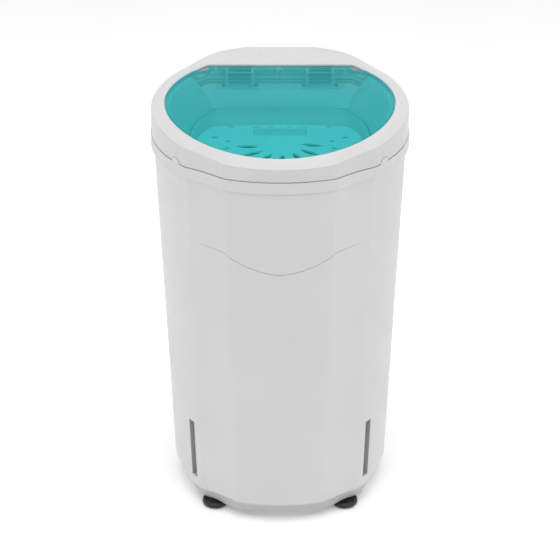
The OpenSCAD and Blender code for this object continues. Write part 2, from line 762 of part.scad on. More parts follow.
pocket_y = 36;
module inner_cover() color("#dff2f1") at_axis() {
    difference() {
        union() {
            difference() {
                dome(inner_r, inner_z, inner_t);
                dome(inner_r + 1, inner_z - 20, 20);
                translate([-200, inner_y, inner_z - 1]) cube([400, 200, 60]);
            }
            // rim that stands on the ledge
            difference() {
                translate([0, 0, inner_z]) cylinder(h = inner_t, r = inner_r);
                translate([0, 0, inner_z - 1]) cylinder(h = inner_t + 2, r = inner_r - 9);
                translate([-200, inner_y, inner_z - 1]) cube([400, 200, 60]);
            }
            translate([-130, inner_y - 9, inner_z]) intersection() {
                cube([260, 9, inner_t]);
                translate([130, 9 - inner_y, -1]) cylinder(h = 9, r = inner_r);
            }
            // finger pocket and grip
            translate([-pocket_w / 2 - 2.5, pocket_y - 2.5, inner_z - pocket_h + inner_rise])
                cube([pocket_w + 5, min(pocket_d + 5, inner_y - pocket_y), pocket_h + inner_t - 1]);
            translate([0, pocket_y - 20, inner_z + inner_rise]) linear_extrude(inner_t)
                intersection() {
                    square([pocket_w + 24, 34], center = true);
                    circle(r = pocket_w / 2 + 6);
                }
        }
        translate([-pocket_w / 2, pocket_y, inner_z - pocket_h + inner_rise + 2.5])
            cube([pocket_w, pocket_d, 40]);
        for (i = [-1:1])
            translate([i * pocket_w * 0.3, pocket_y + pocket_d / 2, inner_z - 30]) rotate([0, 0, 60 - 12 * i])
                leaf(pocket_d * 0.9, 13);
        // leaf slots fan out over the front half
        for (i = [0:leaf_count / 2])
            rotate([0, 0, 360 / leaf_count * i + 3])
                translate([-leaf_from - leaf_len / 2, 0, inner_z - 20]) rotate([0, 0, -8])
                    leaf(leaf_len, leaf_w);
        for (s = [-1, 1]) {
            for (a = [20, 45]) rotate([0, 0, s > 0 ? a : 180 - a])
                translate([inner_r - 29, 0, inner_z - 20]) leaf(15, 7);
            for (a = [14, -4]) rotate([0, 0, s > 0 ? a : 180 - a])
                translate([inner_r - 57, 0, inner_z - 20]) leaf(13, 6);
            // narrow slots along the straight rear edge
            for (x = [11, 32]) translate([s > 0 ? x : -x - x / 3 - 6, inner_y - 13, inner_z - 20])
                cube([x / 3 + 6, 3.4, 40]);
        }
    }
}

// ---------------------------------------------------------------- basket and rotor
module tube_between(z0, z1, ro, ri) {
    translate([0, 0, z0]) difference() {
        cylinder(h = z1 - z0, r = ro);
        translate([0, 0, -1]) cylinder(h = z1 - z0 + 2, r = ri);
    }
}

basket_floor_in = 22;
module basket() color(steel) at_axis() {
    difference() {
        union() {
            tube_between(basket_z + basket_floor_in, basket_top - curl_r, basket_r, basket_r - sheet);
            // rolled edge
            rotate_extrude() translate([basket_r - curl_r, basket_top - curl_r]) circle(r = curl_r, $fn = 24);
            // floor with its rounded corner and raised middle
            rotate_extrude() difference() {
                union() {
                    translate([0, basket_z]) square([basket_r - basket_floor_in, sheet + 0.5]);
                    translate([basket_r - basket_floor_in, basket_z + basket_floor_in])
                        intersection() {
                            circle(r = basket_floor_in);
                            translate([0, -basket_floor_in - 1]) square([basket_floor_in + 1, basket_floor_in + 1]);
                        }
                    translate([0, basket_z - 4]) square([boss_r, 10]);
                }
                translate([basket_r - basket_floor_in, basket_z + basket_floor_in])
                    circle(r = basket_floor_in - sheet);
                translate([-1, basket_z - 5]) square([shaft_r + run + 1, 30]);
            }
        }
        // drain holes
        for (row = [0:hole_rows - 1], i = [0:hole_count - 1])
            rotate([0, 0, 360 / hole_count * (i + (row % 2) / 2)])
                translate([basket_r - 6, 0,
                           basket_z + 46 + row * (basket_top - basket_z - 80) / max(1, hole_rows - 1)])
                    rotate([0, 90, 0]) cylinder(h = 10, r = hole_r, $fn = 24);
        flange_bolt_spots() translate([0, 0, -30]) cylinder(h = 60, r = 3.1, $fn = 32);
    }
}

flange_top = basket_z - 4;
flange_bolt_at = boss_r - 8;
module flange_bolt_spots() {
    for (i = [0:3]) rotate([0, 0, 45 + 90 * i]) translate([flange_bolt_at, 0, basket_z]) children();
}

// Cast flange that carries the basket on the shaft
module basket_flange() color(grey) at_axis() {
    difference() {
        union() {
            tube_between(flange_top - 6, flange_top, boss_r, shaft_r);
            tube_between(flange_top - 16, flange_top - 5, boss_r * 0.55, shaft_r);
        }
        flange_bolt_spots() translate([0, 0, -30]) cylinder(h = 60, r = 3.1, $fn = 32);
    }
}

module flange_bolts() color(steel) at_axis() {
    flange_bolt_spots() {
        translate([0, 0, -10 - 4]) cylinder(h = 20, r = 3);
        translate([0, 0, 6]) cylinder(h = 4, r = 5, $fn = 6);
    }
}

nut_z = basket_z + 6;
module basket_nut() color(steel) at_axis() {
    difference() {
        union() {
            translate([0, 0, nut_z]) cylinder(h = 2, r = 14);
            translate([0, 0, nut_z + 2]) cylinder(h = 11, r = 12.5, $fn = 6);
        }
        translate([0, 0, nut_z - 1]) cylinder(h = 20, r = shaft_r);
    }
}

bell_h = 20;
stator_z = plate_z + plate_t + 4 + bell_h;
stator_top = stator_z + stack_h;
bell_top = stator_top + bell_h + 4;
brake_z = bell_top + 6;
shaft_low = stator_z - bell_h + 2;
shaft_top = nut_z + 16;
module drive_shaft() color(steel) at_axis() {
    translate([0, 0, shaft_low]) cylinder(h = shaft_top - shaft_low, r = shaft_r);
    translate([0, 0, shaft_top - 0.5]) cylinder(h = 2, r1 = shaft_r, r2 = shaft_r - 1.5);
    // shoulder under the basket's flange
    tube_between(flange_top - 20, flange_top - 16, shaft_r + 3, shaft_r - 1);
}

module brake_drum() color(grey) at_axis() {
    difference() {
        union() {
            tube_between(brake_z, brake_z + brake_h, brake_r, brake_r - 6);
            tube_between(brake_z, brake_z + 4, brake_r - 5, shaft_r);
            tube_between(brake_z, brake_z + brake_h - 4, shaft_r + 8, shaft_r);
        }
        for (i = [0:5]) rotate([0, 0, 60 * i]) translate([brake_r * 0.6, 0, brake_z - 1])
            cylinder(h = 6, r = 6);
    }
}

module motor_rotor() color("#6d7073") at_axis() {
    tube_between(stator_z + 2, stator_top - 2, motor_r * 0.52, shaft_r);
    // end ring with fan blades
    tube_between(stator_top - 2.5, stator_top + 1, motor_r * 0.5, motor_r * 0.42);
    for (i = [0:9]) rotate([0, 0, 36 * i])
        translate([motor_r * 0.43, -1, stator_top]) cube([motor_r * 0.06, 2, 7]);
}

// ---------------------------------------------------------------- motor, fixed pieces
air = 0.4;
module motor_stator() color("#5b5f63") at_axis() {
    difference() {
        tube_between(stator_z, stator_top, motor_r, motor_r * 0.52 + air);
        // slots between the stator's teeth
        for (i = [0:11]) rotate([0, 0, 30 * i])
            translate([motor_r * 0.7, 0, stator_z - 1]) cylinder(h = stack_h + 2, r = motor_r * 0.09, $fn = 24);
    }
}

module motor_windings() color("#a4582c") at_axis() {
    for (z = [stator_top, stator_z]) translate([0, 0, z]) mirror([0, 0, z == stator_top ? 0 : 1])
        rotate_extrude() translate([motor_r * 0.7, 0]) intersection() {
            scale([1, 1]) circle(r = motor_r * 0.13, $fn = 32);
            translate([-20, 0.1]) square([40, 20]);
        }
}

module bell_profile() {
    difference() {
        union() {
            square([motor_r + 7, 5]);
            translate([0, 4]) square([motor_r - 6, bell_h - 4]);
            translate([0, 0]) square([24, bell_h + 4]);
        }
        translate([24, -1]) square([motor_r - 33, bell_h - 2]);
        translate([-1, -1]) square([17.5 + 1, bell_h - 2]);
        translate([-1, -1]) square([shaft_r + 2.5, bell_h + 12]);
    }
}

module motor_bell(flip) {
    translate([0, 0, flip ? stator_z : stator_top]) mirror([0, 0, flip ? 1 : 0])
        difference() {
            rotate_extrude() bell_profile();
            for (i = [0:5]) rotate([0, 0, 30 + 60 * i])
                translate([motor_r * 0.62, 0, 10]) cylinder(h = 30, r = motor_r * 0.13);
            motor_bolt_spots() translate([0, 0, -1]) cylinder(h = 30, r = 2.6, $fn = 24);
        }
}

module motor_bolt_spots() {
    for (i = [0:3]) rotate([0, 0, 45 + 90 * i]) translate([motor_r + 3.2, 0, 0]) children();
}

module motor_upper_bell() color(grey) at_axis() {
    motor_bell(false);
    // post that carries the brake
    difference() {
        union() {
            translate([-motor_r - 8, -9, stator_top]) cube([12, 18, brake_z - stator_top + 2]);
            translate([-motor_r - 2, 0, brake_z - 2]) cylinder(h = 4, r = 9);
        }
        translate([-motor_r - 2, 0, stator_top - 1]) cylinder(h = 90, r = 3);
        translate([0, 0, stator_top - 1]) cylinder(h = 40, r = motor_r - 2.4);
    }
}

module motor_lower_bell() color(grey) at_axis() {
    motor_bell(true);
    difference() {
        tube_between(plate_z + plate_t, plate_z + plate_t + 5, motor_r + 13, motor_r - 16);
        plate_bolt_spots() translate([0, 0, -5]) cylinder(h = 20, r = 3.1, $fn = 32);
    }
}

module motor_bolts() color(steel) at_axis() {
    // long bolts beside the stator
    motor_bolt_spots() {
        translate([0, 0, stator_z - 9]) cylinder(h = stack_h + 18, r = 2.5);
        translate([0, 0, stator_top + 5]) cylinder(h = 4, r = 4.4, $fn = 6);
        translate([0, 0, stator_z - 9]) cylinder(h = 4, r = 4.4, $fn = 6);
    }
    plate_bolt_spots() {
        translate([0, 0, -12]) cylinder(h = 17, r = 3, $fn = 32);
        translate([0, 0, 5]) cylinder(h = 4.5, r = 5.2, $fn = 6);
        translate([0, 0, -plate_t - 4.2]) cylinder(h = 4.2, r = 5.2, $fn = 6);
    }
}

module plate_bolt_spots() {
    for (i = [0:3]) rotate([0, 0, 30 + 90 * i])
        translate([motor_r + 6, 0, plate_z + plate_t]) children();
}

// Shielded ball bearing: both rings with the shields between them
module bearing(z) {
    h = 11;
    rotate_extrude() difference() {
        translate([shaft_r + run, z]) square([17.5 - shaft_r - run, h]);
        for (e = [z - 1, z + h - 1]) translate([shaft_r + 3, e]) square([11.5 - shaft_r, 2]);
    }
}

module upper_bearing() color(steel) at_axis() { bearing(stator_top + bell_h - 14.2); }
module lower_bearing() color(steel) at_axis() { bearing(stator_z - bell_h + 3.2); }

// Pressed steel plate on three rubber mounts
module motor_plate() color(steel) at_axis() {
    difference() {
        union() {
            translate([0, 0, plate_z]) cylinder(h = plate_t, r = motor_r + 18);
            for (i = [0:2]) rotate([0, 0, 90 + 120 * i]) {
                translate([0, -mount_r - 3, plate_z]) cube([mount_at, 2 * mount_r + 6, plate_t]);
                translate([mount_at, 0, plate_z]) cylinder(h = plate_t, r = mount_r + 3);
            }
            for (i = [0:2], s = [-1, 1]) rotate([0, 0, 90 + 120 * i])
                translate([motor_r - 18, s * (mount_r + 2) - 1, plate_z - 9])
                    cube([mount_at - motor_r + 18, 2, 10]);
        }
        translate([0, 0, plate_z - 20]) cylinder(h = 40, r = motor_r - 14);
        mount_spots() translate([0, 0, plate_z - 10]) cylinder(h = 20, r = 4.2);
        plate_bolt_spots() translate([0, 0, -15]) cylinder(h = 20, r = 3.1, $fn = 32);
    }
}

module mount_spots() {
    for (i = [0:2]) rotate([0, 0, 90 + 120 * i]) translate([mount_at, 0, 0]) children();
}

cup_h = 8;
mount_low = base_z + base_t;
// Ribbed rubber springs with a stud through the plate
module rubber_mounts() color(dark) at_axis() {
    mount_spots() {
        h = plate_z - mount_low;
        rotate_extrude() difference() {
            translate([0, mount_low]) square([mount_r, h]);
            for (k = [1:3]) translate([mount_r + 3, mount_low + h * k / 4]) circle(r = 6.5, $fn = 32);
        }
        translate([0, 0, plate_z - 1]) cylinder(h = plate_t + 11, r = 4);
    }
}

module mount_nuts() color(steel) at_axis() {
    mount_spots() translate([0, 0, plate_z + plate_t]) difference() {
        union() {
            cylinder(h = 1.6, r = 9);
            translate([0, 0, 1.6]) cylinder(h = 6.4, r = 7.5, $fn = 6);
        }
        translate([0, 0, -1]) cylinder(h = 12, r = 4);
    }
}

// ---------------------------------------------------------------- brake
brake_px = -motor_r - 2;
arm_z = brake_z + 4;
arm_t = 5;
brake_gap = 3;
shoe_r = brake_r + brake_gap + 6;
// Pad and arm lie along the drum's front left
module brake_arm() color(steel) at_axis() {
    difference() {
        union() {
            translate([brake_px, 0, arm_z]) cylinder(h = arm_t, r = 9);
            translate([brake_px - 6, -40, arm_z]) cube([12, 40, arm_t]);
            translate([brake_px - 28, -7, arm_z]) cube([26, 14, arm_t]);
            // curved shoe behind the lining
            intersection() {
                tube_between(arm_z, arm_z + arm_t, shoe_r + 5, shoe_r);
                translate([brake_px, -shoe_r - 10, arm_z - 1]) cube([-brake_px - 8, shoe_r - 2, arm_t + 2]);
            }
        }
        translate([brake_px, 0, arm_z - 1]) cylinder(h = arm_t + 2, r = 4 + run);
        translate([brake_px - 20, 0, arm_z - 1]) cylinder(h = arm_t + 2, r = 1.7, $fn = 24);
    }
}

module brake_pad() color(dark) at_axis() {
    intersection() {
        tube_between(arm_z - 5 + arm_t / 2, arm_z + 5 + arm_t / 2, shoe_r, brake_r + brake_gap);
        translate([-brake_r * 0.95, -shoe_r - 10, arm_z - 20]) cube([brake_r * 0.75, 40, 60]);
    }
}

module brake_pivot() color(steel) at_axis() {
    translate([brake_px, 0, brake_z - 12]) cylinder(h = 16, r = 3);
    translate([brake_px, 0, brake_z + 2]) cylinder(h = arm_t + 3, r = 4);
    translate([brake_px, 0, arm_z + arm_t + gap]) cylinder(h = 3, r = 8);
}

// Cable sheath from the brake to the lid switch, held along its whole way
cable_r = 2.5;
cable_at = tub_r + cable_r + gap;
cable_u = [-sin(50), cos(50)];
cable_pts = [
    [brake_px - 22, 12, arm_z + 2.5],
    [brake_px - 26, 40, arm_z + 4],
    [cable_at * -0.66, cable_at * 0.5, tub_z - 34],
    [cable_u[0] * (cable_at + 10), cable_u[1] * (cable_at + 10), tub_z - 16],
    [cable_u[0] * (cable_at + 3), cable_u[1] * (cable_at + 3), tub_z + 30],
    [cable_u[0] * cable_at, cable_u[1] * cable_at, tub_z + 90],
    [cable_u[0] * cable_at, cable_u[1] * cable_at, tub_z + 200],
    [cable_u[0] * cable_at, cable_u[1] * cable_at, flange_z - 80],
    [cable_u[0] * cable_at, cable_u[1] * cable_at, flange_z + 4],
    [-122, 134, flange_z + 20],
    [-92, 160, part_z - 4],
    [-52, 178, plunger_z - 14],
    [-24, switch_y, plunger_z],
    [-13, switch_y, plunger_z]
];
module cable_hole(r) {
    translate([cable_u[0] * cable_at, cable_u[1] * cable_at, flange_z - 10]) cylinder(h = 40, r = r);
}

function spline(p, t) =
    let (n = len(p) - 1, s = min(floor(t * n), n - 1), u = t * n - s,
         a = p[max(0, s - 1)], b = p[s], c = p[s + 1], d = p[min(n, s + 2)])
    0.5 * (2 * b + (c - a) * u + (2 * a - 5 * b + 4 * c - d) * u * u + (3 * b - a - 3 * c + d) * u * u * u);
cable_path = [for (i = [0:48]) spline(cable_pts, i / 48)];

function unit(v) = v / norm(v);
// Round sections along a list of points
function sections(path, r, sides) =
    let (n = len(path))
    [for (i = [0:n - 1])
        let (d = unit(path[min(n - 1, i + 1)] - path[max(0, i - 1)]),
             u = unit(cross(d, [0.3, 0.9, 0.31])), v = cross(d, u))
        [for (k = [0:sides - 1]) path[i] + r * (cos(360 * k / sides) * u + sin(360 * k / sides) * v)]];

module brake_cable() color(dark) at_axis() { loft(sections(cable_path, cable_r, 8)); }

// ---------------------------------------------------------------- lid switch in the console
module switch_bracket() color(white) at_axis() {
    // tray on two posts under the console
    translate([-30, switch_y - 12, plunger_z - 9.5]) cube([60, 24, 2.5]);
    for (x = [-30, 27]) translate([x, switch_y - 12, plunger_z - 9.5])
        cube([3, 7, console_low - plunger_z + 9.5 - 0.5]);
}

module lid_switch() color(dark) at_axis() {
    difference() {
        translate([-13, switch_y - 8, plunger_z - 7]) cube([26, 16, 13]);
        translate([0, switch_y - 30, plunger_z]) rotate([-90, 0, 0]) cylinder(h = 60, r = plunger_r + run);
    }
}

// Plunger that the lid's roll keeps pressed while the lid is shut
plunger_r = 3;
module switch_plunger() color(grey) at_axis() {
    translate([0, console_y - 1.1, plunger_z]) rotate([-90, 0, 0])
        cylinder(h = switch_y - console_y + 6, r = plunger_r);
}

// ---------------------------------------------------------------- tub
tub_t = 3;
boot_r = 34;
pipe_y = tub_r - 26;
module tub() color("#e3e6e8") at_axis() {
    difference() {
        union() {
            tube_between(tub_z, flange_z, tub_r, tub_r - tub_t);
            // floor falls to the rim
            rotate_extrude() polygon([
                [boot_r, tub_z + 12], [tub_r - 1, tub_z], [tub_r - 1, tub_z + 3], [boot_r, tub_z + 15]]);
            tube_between(tub_z - 4, tub_z + 14, boot_r + tub_t, boot_r);
            intersection() {
                tube_between(flange_z, flange_z + 3, cab_r, tub_r - tub_t);
                body_between(face_level(flange_z - 20), face_level(flange_z + 20), wall + 1);
            }
            translate([0, pipe_y, tub_z - 22]) cylinder(h = 26, r = drain_r + drain_wall);
            // hooks that hold the brake cable
            for (z = [tub_z + 110, tub_z + 250]) translate([cable_u[0] * cable_at, cable_u[1] * cable_at, z])
                tube_between(0, 10, cable_r + 2, cable_r + 0.1);
        }
        cable_hole(cable_r + 1);
        translate([0, pipe_y, tub_z - 23]) cylinder(h = 34, r = drain_r);
        tub_screw_spots() translate([0, 0, -10]) cylinder(h = 20, r = 2.2, $fn = 24);
    }
}

tub_screw_at = tub_r + 15;
module tub_screw_spots() {
    for (i = [0:5]) rotate([0, 0, 60 * i]) translate([tub_screw_at, 0, flange_z + 3]) children();
}

module tub_screws() color(steel) at_axis() {
    tub_screw_spots() {
        cylinder(h = 2.4, r = 4.4);
        translate([0, 0, -3 - gap - 2]) cylinder(h = 6, r = 2.1, $fn = 24);
    }
}

// Ring on the tub's flange that keeps spray inside
module splash_ring() color(grey) at_axis() {
    difference() {
        rotate_extrude() polygon([
            [tub_r - 9, flange_z + 3], [tub_r + 8, flange_z + 3], [tub_r + 8, flange_z + 5.5],
            [tub_r - 6, flange_z + 5.5], [tub_r - 6, throat_z - 4], [tub_r - 9, throat_z - 4]]);
        cable_hole(cable_r + 1.5);
    }
}

// Rubber boot between the tub's collar and the shaft
module shaft_boot() color(dark) at_axis() {
    rotate_extrude() translate([0, tub_z]) polygon([
        [boot_r + tub_t, 4], [boot_r + tub_t + 3, 4], [boot_r + tub_t + 3, -8],
        [boot_r - 4, -8], [boot_r - 7, 2], [boot_r - 12, 2], [boot_r - 15, -8],
        [shaft_r + run, -8], [shaft_r + run, -4], [shaft_r + 4, -4], [boot_r - 17, -5.5],
        [boot_r - 13.5, 4.5], [boot_r - 5.5, 4.5], [boot_r - 2.5, -5.5], [boot_r + tub_t, -5.5]]);
}

module boot_clamp() color(steel) at_axis() {
    tube_between(tub_z - 3, tub_z + 3, boot_r + tub_t + 4.2, boot_r + tub_t + 3);
    translate([boot_r + tub_t + 4, -4, tub_z - 3]) cube([9, 8, 6]);
}

// ---------------------------------------------------------------- base and feet
module foot_spots() {
    for (sx = [-1, 1], sy = [-1, 1]) translate([sx * foot_x, sy * foot_y, 0]) children();
}

module base_plate() color("#d9dcdd") at_axis() {
    difference() {
        union() {
            intersection() {
                translate([0, 0, base_z]) cylinder(h = base_t, r = 240);
                body_between([base_z - 1, level_base[1] - 1.5, level_base[2] - 1.5],
                             [base_z + base_t + 1, level_base[1] - 1, level_base[2] - 1], wall + 0.5);
            }
            // cups for the rubber mounts and sockets for the feet
            mount_spots() tube_between(base_z + base_t - 1, base_z + base_t + cup_h, mount_r + 3.5, mount_r + gap);
            foot_spots() tube_between(foot_h + 8, base_z + 1, 9, 4.2);
            for (i = [0:5]) rotate([0, 0, 20 + 60 * i]) translate([64, -1.5, base_z - 12]) cube([100, 3, 13]);
        }
        translate([0, 0, base_z - 20]) cylinder(h = 40, r = 55);
        for (i = [0:5], r = [78, 92]) rotate([0, 0, 60 * i + 30 - (r == 92 ? 8 : 0)])
            translate([r, 0, base_z - 20]) cylinder(h = 40, r = 5);
        foot_spots() translate([0, 0, -1]) cylinder(h = 80, r = 4.2);
        for (i = [0:3]) rotate([0, 0, 90 * i]) translate([lug_at - 7, 0, base_z - 20])
            cylinder(h = 60, r = 2.3, $fn = 24);
        foot_spots() translate([0, 0, -gap]) cylinder(h = foot_h + 2 * gap, r = foot_r + 2);
    }
}

module base_screws() color(steel) at_axis() {
    for (i = [0:3]) rotate([0, 0, 90 * i]) translate([lug_at - 7, 0, base_z]) {
        translate([0, 0, -2.4]) cylinder(h = 2.4, r = 4.4);
        translate([0, 0, -1]) cylinder(h = 14, r = 2, $fn = 24);
    }
}

module foot_shape() {
    rotate_extrude() difference() {
        union() {
            square([foot_r - 3, foot_h]);
            square([foot_r, foot_h - 5]);
            translate([foot_r - 5, foot_h - 5]) circle(r = 5);
        }
        translate([-60, -20]) square([60, 60]);
        translate([0, 4]) square([4.1, 60]);
        translate([-1, -1]) square([8.5, 5.5]);
        translate([0, -20]) square([foot_r + 5, 20]);
    }
}

module foot_at(sx, sy) {
    color("#151515") at_axis() translate([sx * foot_x, sy * foot_y, 0]) foot_shape();
}
module foot_front_left() { foot_at(-1, -1); }
module foot_front_right() { foot_at(1, -1); }
module foot_rear_left() { foot_at(-1, 1); }
module foot_rear_right() { foot_at(1, 1); }

module foot_bolts() color(steel) at_axis() {
    foot_spots() {
        translate([0, 0, 1]) cylinder(h = 3.3, r = 6.5, $fn = 6);
        translate([0, 0, 3]) cylinder(h = base_z + base_t + 6, r = 4);
        translate([0, 0, base_z + base_t]) cylinder(h = 6, r = 7, $fn = 6);
    }
}

module cover_screws() color(steel) at_axis() {
    cover_screw_spots() {
        translate([0, 0, -2.4]) cylinder(h = 2.4, r = 3.8);
        translate([0, 0, -1]) cylinder(h = 10, r = 2.1, $fn = 24);
    }
}

// ---------------------------------------------------------------- electrics and drain
cap_x = 118;
cap_y = 60;
module capacitor() color("#c9ccd0") at_axis() {
    translate([cap_x, cap_y, base_z + base_t + gap]) {
        cylinder(h = 70, r = 17);
        translate([0, 0, 70]) cylinder(h = 3, r = 15);
        for (x = [-6, 6]) translate([x - 0.4, -3, 72]) cube([0.8, 6, 9]);
    }
}

module capacitor_clip() color(steel) at_axis() {
    translate([cap_x, cap_y, 0]) {
        tube_between(base_z + base_t + 20, base_z + base_t + 32, 18.2, 17);
        translate([17.3, -6, base_z + base_t]) cube([1.2, 12, 31]);
        translate([17.3, -6, base_z + base_t]) cube([16, 12, 1.2]);
    }
}

module terminal_box() color("#e8e6dc") at_axis() {
    translate([-120, 66, base_z + base_t]) {
        difference() {
            cube([44, 30, 26]);
            for (x = [8, 22, 36]) translate([x, 15, 18]) cylinder(h = 20, r = 4);
        }
    }
}

module rear_axis(x, z) {
    translate([x, rear_y(z, x), z]) rotate([-90, 0, 0]) children();
}

cord_bore = 4.5;
module cord_gland() color(dark) at_axis() {
    y = rear_y(gland_z, gland_x);
    translate([gland_x, y - wall - 8, gland_z]) rotate([-90, 0, 0]) difference() {
        union() {
            cylinder(h = 18, r = gland_r - gap / 2);
            translate([0, 0, -6]) cylinder(h = 4, r = gland_r + 3);
            translate([0, 0, -6]) cylinder(h = 10, r = gland_r - gap / 2);
            translate([0, 0, 17]) cylinder(h = 3, r = gland_r + 3);
            translate([0, 0, 19.5]) cylinder(h = 6, r1 = gland_r, r2 = gland_r - 3);
        }
        translate([0, 0, -7]) cylinder(h = 46, r = cord_bore);
    }
}

// Outlet at the rear, where a drain hose is pushed on
spout_y0 = rear_y(spout_z, spout_x);
module drain_spout() color(grey) at_axis() {
    translate([spout_x, spout_y0 - wall - 12, spout_z]) rotate([-90, 0, 0]) difference() {
        union() {
            cylinder(h = 36, r = spout_r);
            translate([0, 0, 8.5]) cylinder(h = 2.5, r = spout_r + 5);
            translate([0, 0, 16]) cylinder(h = 2, r = spout_r + 3);
        }
        translate([0, 0, -1]) cylinder(h = 40, r = drain_r);
    }
}

hose_wall = 2.5;
hose_pts = [
    [spout_x, pipe_y, tub_z - 8],
    [spout_x, pipe_y, tub_z - 24],
    [spout_x, pipe_y, tub_z - 42],
    [spout_x, pipe_y, tub_z - 80],
    [spout_x, pipe_y, spout_z + 56],
    [spout_x, pipe_y, spout_z + 34],
    [spout_x, pipe_y + 3, spout_z + 16],
    [spout_x, pipe_y + 12, spout_z + 3],
    [spout_x, pipe_y + 24, spout_z],
    [spout_x, spout_y0 - wall - 8, spout_z]
];
hose_path = [for (i = [0:26]) spline(hose_pts, i / 26)];
module drain_hose() color("#5d6166") at_axis() {
    out = sections(hose_path, drain_r + drain_wall + hose_wall, 16);
    bore = sections(hose_path, drain_r + drain_wall + gap, 16);
    n = len(hose_path);
    loft(concat(out, [for (i = [n - 1:-1:0]) bore[i]]), loop = true);
}

cabinet();
top_cover();
lid();
hinge_brackets();
hinge_pins();
hinge_screws();
inner_cover();
basket();
basket_flange();
flange_bolts();
basket_nut();
drive_shaft();
tub();
tub_screws();
tub_ring();
splash_ring();
shaft_boot();
boot_clamp();
motor_upper_bell();
motor_stator();
motor_windings();
motor_lower_bell();
motor_bolts();
motor_rotor();
upper_bearing();
lower_bearing();
motor_plate();
rubber_mounts();
mount_nuts();
brake_drum();
brake_arm();
brake_pad();
brake_pivot();
brake_cable();
switch_bracket();
lid_switch();
switch_plunger();
base_plate();
base_screws();
foot_front_left();
foot_front_right();
foot_rear_left();
foot_rear_right();
foot_bolts();
cover_screws();
capacitor();
capacitor_clip();
terminal_box();
cord_gland();
drain_hose();
drain_spout();
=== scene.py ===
"""Looks of the laundry spin dryer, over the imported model, in metres.

Lengths in the shape formulas are millimetres round the drum axis, as in part.scad, and
P() turns them into the frame's metres. Azimuths are degrees from the front.
"""
import bpy
import bmesh
import json
from math import sin, cos, pi, radians, degrees, sqrt, atan2, hypot
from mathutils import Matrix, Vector

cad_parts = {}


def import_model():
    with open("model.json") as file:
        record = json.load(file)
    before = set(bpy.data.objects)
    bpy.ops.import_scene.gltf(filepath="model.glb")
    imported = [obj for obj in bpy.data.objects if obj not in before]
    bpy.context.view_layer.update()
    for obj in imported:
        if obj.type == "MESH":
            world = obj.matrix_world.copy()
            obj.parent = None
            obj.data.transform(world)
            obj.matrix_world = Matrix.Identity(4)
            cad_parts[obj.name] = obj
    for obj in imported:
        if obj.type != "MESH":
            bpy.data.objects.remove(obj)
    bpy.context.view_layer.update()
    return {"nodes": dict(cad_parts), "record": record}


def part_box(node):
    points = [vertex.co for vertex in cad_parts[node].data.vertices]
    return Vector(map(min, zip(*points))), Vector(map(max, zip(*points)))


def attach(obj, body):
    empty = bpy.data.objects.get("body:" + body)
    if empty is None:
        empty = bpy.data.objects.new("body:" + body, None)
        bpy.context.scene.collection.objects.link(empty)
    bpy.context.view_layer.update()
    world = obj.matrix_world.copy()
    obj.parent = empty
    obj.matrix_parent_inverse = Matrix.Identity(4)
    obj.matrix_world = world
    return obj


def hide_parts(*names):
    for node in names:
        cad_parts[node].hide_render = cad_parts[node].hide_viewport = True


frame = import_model()
NODES = frame["nodes"]
AXIS_Y = -5.0  # the drum axis in the frame
PART_Z = 688.0  # the line where the cabinet and the top cover part
# Levels of the outline: height, side radius, front reach
RING = (PART_Z, 220.0, 214.0)
TOP = (PART_Z, 217.0, 213.0)
BASE = (38.0, 191.0, 185.5)
LIP = (10.0, 178.0, 172.5)
FACET_CY = 70.0  # how far behind the drum axis the front facet's arc is centred
FLUTE_FROM, FLUTE_TO = 25.4, 45.4  # azimuths of the flute's edges at the ring
FLUTE_TURN, FLUTE_SAG = 4.0, 2.5  # degrees that they turn down to the base, and its depth
LOOK_DOWN = 28.5  # the camera's angle under the horizon
CAMERA_AT = (0.0, -3.745, 2.4226)
LENS, SENSOR = 154.286, 36.0


# ------------------------------------------------------------------ camera
def make_camera():
    cam = bpy.data.objects.new("camera", bpy.data.cameras.new("camera"))
    bpy.context.scene.collection.objects.link(cam)
    cam.data.lens = LENS
    cam.data.sensor_width = SENSOR
    cam.data.clip_start, cam.data.clip_end = 0.1, 40.0
    cam.location = CAMERA_AT
    cam.rotation_euler = (radians(90 - LOOK_DOWN), 0.0, 0.0)
    bpy.context.scene.camera = cam


make_camera()


# ------------------------------------------------------------------ small helpers
def clamp01(t):
    return min(1.0, max(0.0, t))


def smooth(t):
    s = clamp01(t)
    return s * s * (3 - 2 * s)


def mix(a, b, t):
    return a + (b - a) * t


def sind(a):
    return sin(radians(a))


def cosd(a):
    return cos(radians(a))


def P(x, y, z):
    """A point in millimetres round the drum axis, in the frame's metres."""
    return (x * 0.001, (y + AXIS_Y) * 0.001, z * 0.001)


def polar(r, az, z):
    return (r * sind(az), -r * cosd(az), z)


# ------------------------------------------------------------------ the body's outline
def facet_at(lv, az):
    c = FACET_CY * cosd(az)
    r = lv[2] + FACET_CY
    return -c + sqrt(r * r - FACET_CY * FACET_CY + c * c)


def fall(lv):
    return clamp01((RING[1] - lv[1]) / (RING[1] - BASE[1]))


def edge_in(lv):
    return FLUTE_FROM + FLUTE_TURN / 2 * fall(lv)


def edge_out(lv):
    return FLUTE_TO + FLUTE_TURN * fall(lv)


def chord(lv):
    a = edge_in(lv)
    r = min(lv[1], facet_at(lv, a))
    b = edge_out(lv)
    return Vector((r * sind(a), -r * cosd(a))), Vector((lv[1] * sind(b), -lv[1] * cosd(b)))


def flute_centre():
    a, b = chord(RING)
    d = (b - a).normalized()
    h = (b - a).length / 2
    r = (h * h + FLUTE_SAG * FLUTE_SAG) / (2 * FLUTE_SAG)
    return (a + b) / 2 + Vector((d.y, -d.x)) * (r - FLUTE_SAG)


FLUTE_C = flute_centre()


def flute_r(lv):
    a, b = chord(lv)
    return ((a + b) / 2 - FLUTE_C).length + FLUTE_SAG


